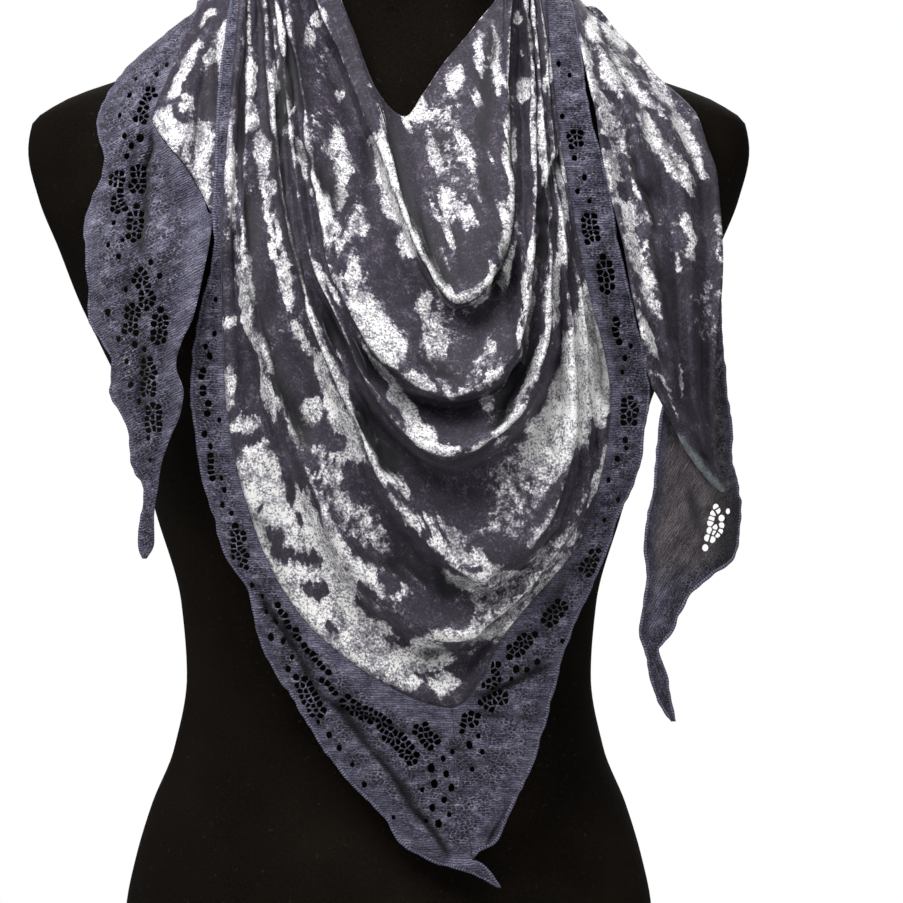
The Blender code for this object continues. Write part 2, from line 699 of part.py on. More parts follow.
def build_wraps(materials, collection):
    """The two stretches of velvet that cross at the nape, each with the trim along its lower edge."""
    margin = math.degrees(SEAM / NECK_REACH)
    bearings = np.linspace(180 - margin, margin, WRAP_STEPS + 1)
    for name, table in (("inner", WRAP_INNER), ("outer", WRAP_OUTER)):
        grid = wrap_grid(table, bearings, np.linspace(0, 1, WRAP_PLEATS * 4 - 1))
        points = push_clear(grid.reshape(-1, 3))
        faces = grid_faces(*grid.shape[:2])
        new_object(f"velvet_wrap_{name}", points, faces, materials["velvet"], collection)
        grid = wrap_grid(table, bearings, np.linspace(0, 1, 4), trim=WRAP_TRIM_ENDS[name])
        points = push_clear(grid.reshape(-1, 3))
        faces = grid_faces(*grid.shape[:2])
        new_object(f"lace_wrap_{name}", points, faces, materials["trim_gauze"], collection)


def make_materials():
    made = {}
    for name, (colour, roughness, metallic) in MATERIALS.items():
        material = bpy.data.materials.new(name)
        material.use_nodes = True
        shader = material.node_tree.nodes["Principled BSDF"]
        shader.inputs["Base Color"].default_value = (*colour, 1.0)
        shader.inputs["Roughness"].default_value = roughness
        shader.inputs["Metallic"].default_value = metallic
        made[name] = material
    return made


def main():
    for old in list(bpy.data.objects):
        bpy.data.objects.remove(old, do_unlink=True)
    collection = bpy.data.collections.new("triangle_scarf")
    bpy.context.scene.collection.children.link(collection)
    materials = make_materials()
    build_form(materials["form_jersey"], collection)
    grid = cowl_grid()
    faces = grid_faces(*grid.shape[:2])
    new_object("velvet_front", grid.reshape(-1, 3), faces, materials["velvet"], collection)
    front_trims(grid[-1], materials, collection)
    build_tails(materials, collection)
    build_wraps(materials, collection)


main()
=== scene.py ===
"""Triangle scarf of crushed velvet with a crinkled gauze trim, worn on a black dress form.

The scarf's middle hangs as a cowl over the chest. Its ends pass behind the neck, cross there and
come forward over the shoulders. Lengths are millimetres: X to the viewer's right, the front of the
form facing -Y, Z up from its flat base.
"""
import math

import bpy
import numpy as np
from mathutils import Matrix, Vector
from mathutils.geometry import delaunay_2d_cdt


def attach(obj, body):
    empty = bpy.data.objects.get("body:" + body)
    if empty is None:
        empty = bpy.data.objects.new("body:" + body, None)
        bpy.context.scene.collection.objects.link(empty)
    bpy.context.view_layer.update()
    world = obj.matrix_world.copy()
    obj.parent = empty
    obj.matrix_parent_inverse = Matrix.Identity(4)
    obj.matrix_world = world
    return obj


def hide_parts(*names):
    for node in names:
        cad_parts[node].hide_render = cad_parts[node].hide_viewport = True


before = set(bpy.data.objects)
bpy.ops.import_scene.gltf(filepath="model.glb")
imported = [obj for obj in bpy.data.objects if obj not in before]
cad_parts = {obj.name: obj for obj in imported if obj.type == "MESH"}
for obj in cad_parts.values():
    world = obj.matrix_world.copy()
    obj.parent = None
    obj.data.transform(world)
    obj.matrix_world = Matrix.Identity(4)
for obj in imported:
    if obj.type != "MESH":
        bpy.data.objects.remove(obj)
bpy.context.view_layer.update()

MM = 0.001
VELVET_WALL = 1.2
TRIM_WALL = 0.7
SEAM = 0.5            # gap left where two pieces are sewn edge to edge
CLEAR = 1.3           # least distance from the form to the middle of the cloth
DROP_OVER = 55.0      # height over which the cloth turns from lying on the shoulder to hanging

# Places on the front are counted right and down from the upper left of what shows, in these steps.
FRONT_STEP = 0.525
FRONT_ZERO = (-202.5, 580.0)
CAMERA = (34.4, -2400.0, 343.0)
CAMERA_LENS = 173.97
FORM_SIDES = 168
FORM_RINGS = 150
FORM_ROUND = 4.0        # radius of the form's edges at the neck and the base

# What the pile and the light give the velvet, from the deepest shade to pressed silver.
VELVET_STOPS = (
    (0.0, "#17131b"), (0.12, "#342d3d"), (0.40, "#77737d"), (0.66, "#b8b6bb"), (0.92, "#fbfaf9"),
)
GAUZE_SHADE = "#0f0e16"
NET_CELL = (2.3, 1.8)    # cells of the fine net, which is drawn because they are too small to cut
CREASE_SHADE = "#0c0a11"   # painted shade for a sharp trough, where hardly any light gets back out
BANDS_A_STEP = 0.314     # scale at which a wave texture has one band a step
RIB_PITCH = 1.25         # the ribs are 0.9 mm apart, drawn a little coarser so that they show
UNDERSIDE = 4.0          # the right end's lower edge is rolled, so a strip of its reverse shows
UNDERSIDE_TOP = 410.0
UNDERSIDE_BELOW = 352.0
ROLL = 9.0               # width of the roll along that edge

# Openwork. Net patches: right, down, half length and half width in millimetres, and lean in degrees.
# Single eyelets: right, down and radius.
NETS = {
    "front_left": (
        (203, 382, 7, 2.5, 0), (208, 408, 5, 2.2, 5), (239, 548, 12.5, 4.4, 6),
        (308, 695, 13.5, 4.6, 30), (352, 706, 8, 4, 60), (374, 718, 8, 5, 55), (394, 738, 8, 5, 50),
        (408, 752, 6, 4, 40), (283, 616, 7, 2.4, 30), (300, 640, 8, 2.4, 32), (320, 662, 7, 2.4, 38),
        (212, 466, 6, 2.4, 5), (330, 688, 6, 2.4, 45), (425, 735, 7, 4, 40),
    ),
    "front_right": (
        (488, 675, 8.6, 6.4, 0), (520, 645, 9, 4, -50), (555, 612, 8, 4, -40), (590, 226, 8, 3.4, 12),
        (605, 274, 9, 3.4, 10), (616, 330, 6, 2.4, 8), (629, 408, 7, 3.2, 0), (576, 134, 4, 3, 10),
        (444, 730, 8, 6, -30), (466, 722, 8, 4, -60), (495, 700, 8, 2.6, -62), (592, 560, 8, 3, -30),
    ),
    "end_left": (
        (143, 97, 11, 4.4, -22), (134, 175, 7, 3.4, 0), (116, 199, 6, 4, 0), (113, 175, 4, 3, 0),
        (133, 222, 9, 4, 0), (141, 277, 5, 4, 10), (148, 297, 6, 4, 0), (133, 318, 7.5, 5, -5),
        (161, 326, 9, 4.2, 0), (150, 376, 11, 4.2, 0), (155, 416, 7, 3, 0),
    ),
    "end_right": (
        (718, 522, 9, 3.4, -8), (708, 543, 4, 2.4, 0), (729, 412, 6, 2.4, 6),
    ),
}
EYELETS = {
    "front_left": (
        (215, 334, 1.7), (206, 347, 1.6), (210, 356, 2.0), (205, 434, 2.0), (211, 446, 1.7),
        (214, 456, 1.5), (225, 490, 1.7), (223, 505, 1.6), (232, 513, 1.5), (266, 612, 1.5),
        (276, 622, 1.6), (271, 637, 2.2), (283, 641, 1.7), (302, 652, 1.5), (292, 657, 1.5),
        (288, 669, 1.9), (329, 735, 2.0), (339, 748, 1.8), (364, 785, 1.8), (382, 808, 1.7),
        (222, 372, 1.4), (220, 420, 1.4), (216, 300, 1.4), (214, 272, 1.5), (352, 765, 1.4),
        (262, 596, 1.4), (252, 585, 1.6), (318, 722, 1.4), (393, 818, 1.4), (222, 478, 1.4),
        (431, 768, 2.4), (443, 759, 1.6), (446, 774, 2.0), (434, 784, 2.3), (451, 788, 2.2),
        (422, 790, 1.5), (444, 800, 1.9), (432, 808, 2.0), (438, 824, 2.3), (452, 752, 1.5),
        (426, 822, 1.5), (449, 815, 1.5),
    ),
    "front_right": (
        (537, 662, 2.0), (527, 670, 1.9), (516, 669, 2.2), (511, 679, 1.6), (548, 620, 1.6),
        (562, 641, 1.5), (574, 132, 1.7), (580, 141, 1.6), (563, 113, 1.6), (575, 156, 1.7),
        (585, 176, 1.8), (578, 190, 1.6), (590, 200, 1.5), (625, 358, 1.7), (631, 346, 1.5),
        (625, 440, 1.8), (622, 372, 1.4), (617, 459, 1.7), (626, 448, 1.4), (608, 480, 1.5),
        (618, 500, 1.6), (604, 520, 1.4), (469, 745, 2.2), (478, 736, 1.5), (555, 40, 1.5),
        (482, 752, 1.5), (472, 770, 1.5), (560, 58, 1.6), (571, 70, 1.4), (586, 590, 1.5),
        (572, 606, 1.6), (603, 350, 1.5),
    ),
    "end_left": (
        (123, 88, 1.8), (126, 110, 1.7), (114, 110, 1.5), (130, 122, 2.0), (120, 132, 1.6),
        (136, 134, 2.4), (127, 142, 1.8), (123, 153, 1.8), (163, 83, 1.6), (152, 263, 1.9),
        (161, 277, 1.8), (109, 313, 2.1), (119, 257, 1.6), (108, 245, 1.5), (112, 222, 1.5),
        (122, 240, 1.4), (126, 290, 1.5), (136, 345, 2.0), (146, 350, 1.6), (128, 362, 1.5),
        (140, 402, 1.6), (150, 438, 1.5), (132, 385, 1.7), (150, 66, 1.5), (160, 56, 1.6),
        (168, 66, 1.4), (170, 40, 1.4), (120, 340, 1.5), (152, 460, 1.4), (128, 70, 1.4),
    ),
    "end_right": ((731, 512, 1.5), (708, 548, 1.5)),
}

FLOOR_RADIUS = 0.9
WORLD_LIGHT = (0.02, 0.30)     # strength of the light from below and from above
# Name, place, what it is aimed at, width and power of each light, in metres and watts.
LIGHTS = (
    ("key_light", (-0.36, -0.72, 1.28), (0, 0, 0.46), 0.8, 16.5),
    ("fill_light", (0.85, -0.95, 1.2), (0, 0, 0.45), 0.9, 5.0),
    ("back_light", (0.3, 2.4, 2.0), (0, 0, 0.4), 1.4, 34.0),
)

# The dress form, a row for each height: half width, depth to the front and back, squareness.
FORM_COLUMNS = ("height", "half_width", "front", "back", "square")
FORM = (
    (0, 150, 100, 104, 2.3), (95, 144, 97, 100, 2.3), (120, 139, 93, 94, 2.3), (150, 130, 88, 86, 2.25),
    (180, 118, 84, 78, 2.2), (220, 111, 82, 72, 2.2), (260, 114, 86, 72, 2.2), (310, 128, 97, 79, 2.25),
    (371, 144, 112, 89, 2.3), (399, 157, 114, 94, 2.35), (426, 170, 110, 98, 2.4),
    (454, 181, 103, 99, 2.4), (481, 192, 94, 97, 2.4), (508, 198, 83, 92, 2.4), (522, 196, 76, 87, 2.4),
    (536, 177, 70, 80, 2.3), (546, 150, 66, 75, 2.2), (556, 125, 62, 71, 2.15), (567, 100, 59, 68, 2.1),
    (581, 80, 56, 65, 2.05), (600, 66, 54, 61, 2.0), (625, 60, 54, 58, 2.0), (660, 58, 55, 58, 2.0),
)

# The surface that the front of the scarf hangs on: wider than the form, and not drawn in at the waist.
HANG_COLUMNS = ("height", "half_width", "front")
HANG = (
    (100, 205, 96), (150, 205, 98), (200, 207, 101), (250, 210, 106), (300, 213, 111), (350, 215, 115),
    (400, 215, 115), (440, 215, 110), (480, 213, 98), (520, 205, 84), (560, 185, 69), (600, 150, 61),
    (660, 110, 58),
)
HANG_SQUARE = 2.4

# Where cloth passes over the shoulder: distance from the middle, and height.
CREST_COLUMNS = ("out", "height")
CREST = (
    (64, 644), (70, 632), (76, 621), (82, 612), (90, 604), (101, 594), (106, 588), (125, 572),
    (143, 558), (165, 545), (220, 540),
)

# The cowl, a row for each fold from the neckline to the edge of the trim. The six places on either
# limb are at these shares of the drop from the shoulder to the bottom of the fold. Lifts are how far
# the fold stands forward of the hanging surface, and the dip is how deep the hollow under it goes.
LIMB_SHARES = (0.0, 0.2, 0.42, 0.6, 0.76, 0.9)
LINE_SHARES = (0, 0.22, 0.5, 0.78, 1)   # shoulder, left limb, bottom, right limb and shoulder on a fold
SWAG_COLUMNS = ("name", "left", "bottom", "right", "lift_left", "lift", "lift_right", "dip", "tuck")
SWAGS = (
    ("neckline", (-64, -52, -29, -19, -12, -4), (10, 519), (65, 63, 61, 47, 31, 20), 7, 8, 8, 0, 0.5),
    ("fold_1", (-66, -43, -22, -5, 8, 20), (38, 422), (68, 66, 64, 66, 67, 62), 10, 33, 20, 20, 0.14),
    ("fold_2", (-68, -54, -43, -36, -26, -7), (34, 372), (71, 75, 78, 78, 76, 69), 17, 38, 23, 19, 0.16),
    ("fold_3", (-70, -58, -50, -42, -24, -4), (33, 341), (73, 79, 83, 86, 85, 74), 17, 36, 23, 15, 0.22),
    ("fold_4", (-72, -63, -55, -40, -17, 8), (47, 279), (76, 84, 90, 96, 98, 88), 18, 28, 20, 11, 0.3),
    ("fold_5", (-74, -73.5, -75, -62, -42, -15), (35, 246), (78, 84.5, 96, 105.5, 105.5, 84),
     15, 20, 11, 6, 0.35),
    ("hem", (-76, -81.5, -86, -83.5, -70, -38), (34, 209), (83, 89, 102.5, 117.5, 105.5, 63),
     8, 8, 8, 0, 0.5),
)
# The front trim's rims by place, from the shoulder down to the scarf's point. The left one turns
# round the point and ends at the notch beside it, where the right one ends.
FRONT_RIMS = {
    "left": (
        (232, -65), (226, 0), (221, 50), (217, 100), (215, 150), (214.5, 200), (216, 240), (212, 272),
        (205, 299), (199, 325), (194, 358), (191, 390), (196, 425), (202, 470), (211, 498), (220, 535),
        (233, 566), (250, 592), (256, 620), (264, 650), (276, 672), (290, 692), (303, 713), (316, 737),
        (334, 763), (354, 786), (372, 805), (389, 823), (399, 842), (417, 853), (440, 864), (462, 870),
        (482, 878), (500, 888),
    ),
    "right": (
        (568, -37), (577, 0), (583, 50), (588, 95), (593, 122), (601, 154), (609, 190), (616, 232),
        (625, 275), (637, 327), (645, 360), (648, 390), (643, 427), (640, 460), (630, 490), (612, 532),
        (604, 556), (594, 580), (582, 604), (569, 634), (559, 662), (553, 688), (545, 722), (535, 754),
        (526, 776), (515, 798), (508, 814), (503, 827), (494, 843), (484, 848), (478, 851), (475, 857),
    ),
}
POINT_NOTCH = ((486, 869), (474.5, 861))
MITRE_END = (472, 861)
TIGHTEST_FOLD = 0.07   # deepest hollow for its width squared, so that the wall never meets itself
LIMB_DIP = 0.8         # hollows are this much shallower on the limbs than at the bottom
TUCK_GAPS = (10, 35)   # a hollow tucks up under its ridge as the folds part from the first to the second
STEP_GAPS = (8, 24)    # and lies as deep as the lower of its two ridges over these gaps
HEM_BORDER = 4.0       # the velvet lies flat over this width beside the seam
CREST_LIFT = 3.0       # how far a ridge stands out on top of the shoulder
TRIM_LIFT = 8.0        # the trim lies this far forward of the hanging surface
STRIP_LIFT = 16.0      # the left trim is folded to a strip, which lies on the left tail's velvet
STRIP_END = (430, 462)
TRIM_WAVE = 0.55       # bumps along the overlocked edge
TRIM_WAVE_LENGTH = 20.0
SECOND_WAVE = (0.6, 0.61)   # a second wave on it, of this share of its height and length
TRIM_RIPPLE = 1.6      # ripples across the trim
TRIM_RIPPLE_TURN = (0.11, 0.07)   # radians a millimetre along X and Z

# Where the tails' edges cross the shoulder, left of the middle and right of it.
LEFT_CREST = (-81.5, -89, -96)
LEFT_LACE_CREST = -104
RIGHT_CREST = (97.5, 107)

# The tails, a row for each height: from the edge nearest the neck to the outer edge.
TAIL_COLUMNS = ("height", "inner", "outer")
LEFT_VELVET = (
    (586, -81.5, -101), (564, -83, -110), (540, -85, -118), (520, -86.5, -124.5), (509, -87.3, -118.5),
    (498, -88, -109.5), (489, -88.5, -103), (476, -89.5, -95.5), (468, -90.3, -92),
)
LEFT_LACE = (
    (584, -101, -104), (576, -105, -113), (566, -109, -125), (550, -114, -142), (530, -122, -152),
    (520, -124.5, -155), (509, -118.5, -153), (498, -109.5, -150), (489, -103, -152), (476, -95.5, -157),
    (465, -91, -159), (452, -92, -158), (430, -96, -156), (413, -100, -155), (400, -106, -148),
    (388, -109, -142), (374, -105, -145), (362, -107, -138), (353, -111, -134), (336, -117, -132),
    (322, -119, -125), (308, -121, -127), (295, -121, -129), (287, -125, -127),
)
RIGHT_VELVET = (
    (588, 100.5, 111), (573, 102, 126), (559, 104, 136), (547, 106, 144), (534, 108.5, 158),
    (524, 111, 166), (507, 113, 171), (489, 116, 176), (450, 125, 178), (426, 129, 177), (402, 134, 174),
    (379, 139, 173), (370, 144, 172), (345, 157, 174), (328, 170, 177.5), (322, 177, 179),
)
RIGHT_LACE = (
    (428, 166, 176), (409, 166, 177), (397, 165, 178), (376, 158, 180), (369, 147, 181), (352, 144, 183),
    (343, 143, 182), (324, 141, 186), (310, 138, 188), (296, 136, 187), (286, 137, 184), (278, 138, 173),
    (267, 137, 160), (248, 134, 150), (238, 137, 143), (224, 140, 148), (212, 144, 150), (200, 151, 153),
)
# How the tails hang: forward lift, depth of the folds, folds across the width. The right tail folds
# back at its end, so its trim lies just behind the hollows of its velvet.
TAIL_HANG_COLUMNS = ("name", "lift_high", "lift_low", "fold_depth", "folds")
TAIL_HANG = (
    ("left", 6.0, 22.0, 2.6, 2.5),
    ("right_velvet", 10.0, 17.0, 4.2, 3.0),
    ("right_lace", 10.0, 11.1, 1.2, 2.0),
)
TAIL_LIFT_HEIGHTS = (440, 478)
TAIL_FULL_FOLD = 40.0   # width from which a tail's folds have their whole depth

# The two stretches behind the neck, a row for each bearing seen from above. 180 is the left shoulder,
# 90 the nape and 0 the right shoulder. Reach and height are of the upper and lower edge of the velvet.
WRAP_COLUMNS = ("bearing", "reach_in", "height_in", "reach_out", "height_out")
WRAP_INNER = (
    (180, 64, 644, 76, 621),
    (135, 68, 643, 90, 602),
    (90, 69, 634, 90, 590),
    (45, 76, 596, 102, 566),
    (20, 90, 600, 119, 567),
    (0, 97.5, 597.5, 129, 569),
)
WRAP_OUTER = (
    (180, 83, 611, 96, 599),
    (135, 97, 616, 118, 578),
    (90, 90, 641, 109, 597),
    (45, 83, 650, 105, 612),
    (20, 70, 649, 91, 617),
    (0, 65, 642, 83, 611),
)
WRAP_PLEATS = 3
WRAP_PLEAT_DEPTH = 2.4
WRAP_TRIM_WAVE = 0.8
WRAP_TRIM = 16.0       # width of the trim that shows below the velvet at the nape
NECK_REACH = 50.0      # least distance of a wrap's ends from the middle
WRAP_JOINT = 0.15      # gap between a wrap and what it carries on from, on the shoulder
WRAP_MARGIN = math.degrees(WRAP_JOINT / NECK_REACH)
WRAP_ARC = 1.6         # length along a wrap's flat cloth for each degree of bearing
WRAP_GRID = (200, 46)  # points around the neck and across the velvet
CARRY_ON = 45.0        # the wrap's pile is still like the cowl's over this length
SHOULDER_NAP = {"inner": 0.75, "outer": 0.2}
FOLDS_CARRY_ON = 38.0  # and so are its folds
WRAP_TRIM_ENDS = {"inner": (6.5, 4.0), "outer": (8.0, 13.5)}

# Creases pressed in: right and down of one end, right and down of the other, height and
# width. Troughs have a height below 0.
COWL_CREASES = (
    (232, 60, 237, 160, -1.8, 3.5), (278, 40, 280, 172, -2.4, 4.0), (280, 165, 302, 300, -2.2, 4.0),
    (240, 175, 256, 300, -2.2, 3.5), (256, 290, 276, 376, -2.4, 3.5), (274, 366, 309, 444, -2.4, 4.0),
    (278, 395, 327, 498, -2.0, 4.5), (322, 490, 357, 548, -1.8, 4.5), (350, 540, 404, 578, -1.6, 4.0),
    (355, 400, 400, 470, -2.4, 5.0), (300, 135, 345, 224, -2.0, 4.0), (368, 134, 375, 232, -1.6, 3.5),
    (317, 296, 370, 384, -2.0, 3.5), (418, 215, 452, 294, -2.4, 4.0), (386, 100, 402, 176, -2.8, 2.4),
    (399, 160, 416, 232, -2.8, 2.4), (426, 158, 458, 134, -1.6, 2.0), (430, 206, 460, 178, -1.6, 2.0),
    (452, 226, 462, 290, -1.4, 2.0), (396, 556, 436, 588, -1.4, 2.2), (300, 470, 322, 520, -1.4, 2.4),
    (440, 520, 462, 560, -1.4, 2.0), (504, 470, 530, 510, -1.4, 2.0), (540, 430, 556, 462, -1.4, 2.0),
    (407, 348, 468, 390, -2.0, 3.5), (493, 20, 482, 168, -2.2, 3.0), (482, 160, 485, 216, -2.0, 3.0),
    (512, 60, 516, 200, -2.0, 2.6), (516, 195, 490, 302, -2.0, 3.0), (524, 0, 534, 56, -1.8, 2.6),
    (561, 140, 541, 222, -1.8, 3.0), (541, 215, 537, 270, -2.2, 3.0), (537, 262, 525, 366, -2.4, 3.2),
    (525, 360, 490, 432, -2.2, 3.2), (572, 210, 564, 318, -1.6, 3.2), (579, 270, 611, 420, -1.4, 4.0),
    (376, 458, 404, 484, -1.5, 4.0), (412, 652, 468, 650, -1.6, 3.2), (465, 651, 506, 632, -1.4, 3.2),
    (430, 562, 460, 602, -1.5, 3.6), (300, 20, 298, 120, -1.2, 5.0), (330, 30, 352, 140, -1.0, 5.0),
    (420, 162, 482, 134, 1.6, 2.0), (433, 217, 477, 199, 1.5, 2.0), (426, 236, 447, 250, 1.4, 2.4),
    (396, 622, 462, 634, 1.6, 2.2), (458, 634, 502, 640, 1.4, 2.2), (462, 570, 528, 588, 1.4, 3.0),
    (250, 440, 300, 560, 1.8, 6.0), (290, 450, 352, 560, 1.8, 6.0), (322, 440, 392, 545, 1.8, 6.0),
    (240, 500, 300, 600, -1.2, 4.0), (335, 560, 392, 612, 1.6, 5.0), (310, 590, 372, 668, 1.3, 5.0),
    (440, 600, 520, 560, -1.2, 5.0), (500, 600, 592, 480, 1.2, 5.0), (480, 640, 560, 560, -1.0, 4.0),
    (540, 380, 560, 470, 1.2, 6.0), (556, 340, 600, 440, 1.2, 5.0), (470, 392, 508, 372, 1.4, 2.4),
    (386, 560, 432, 596, -1.2, 3.5),
)
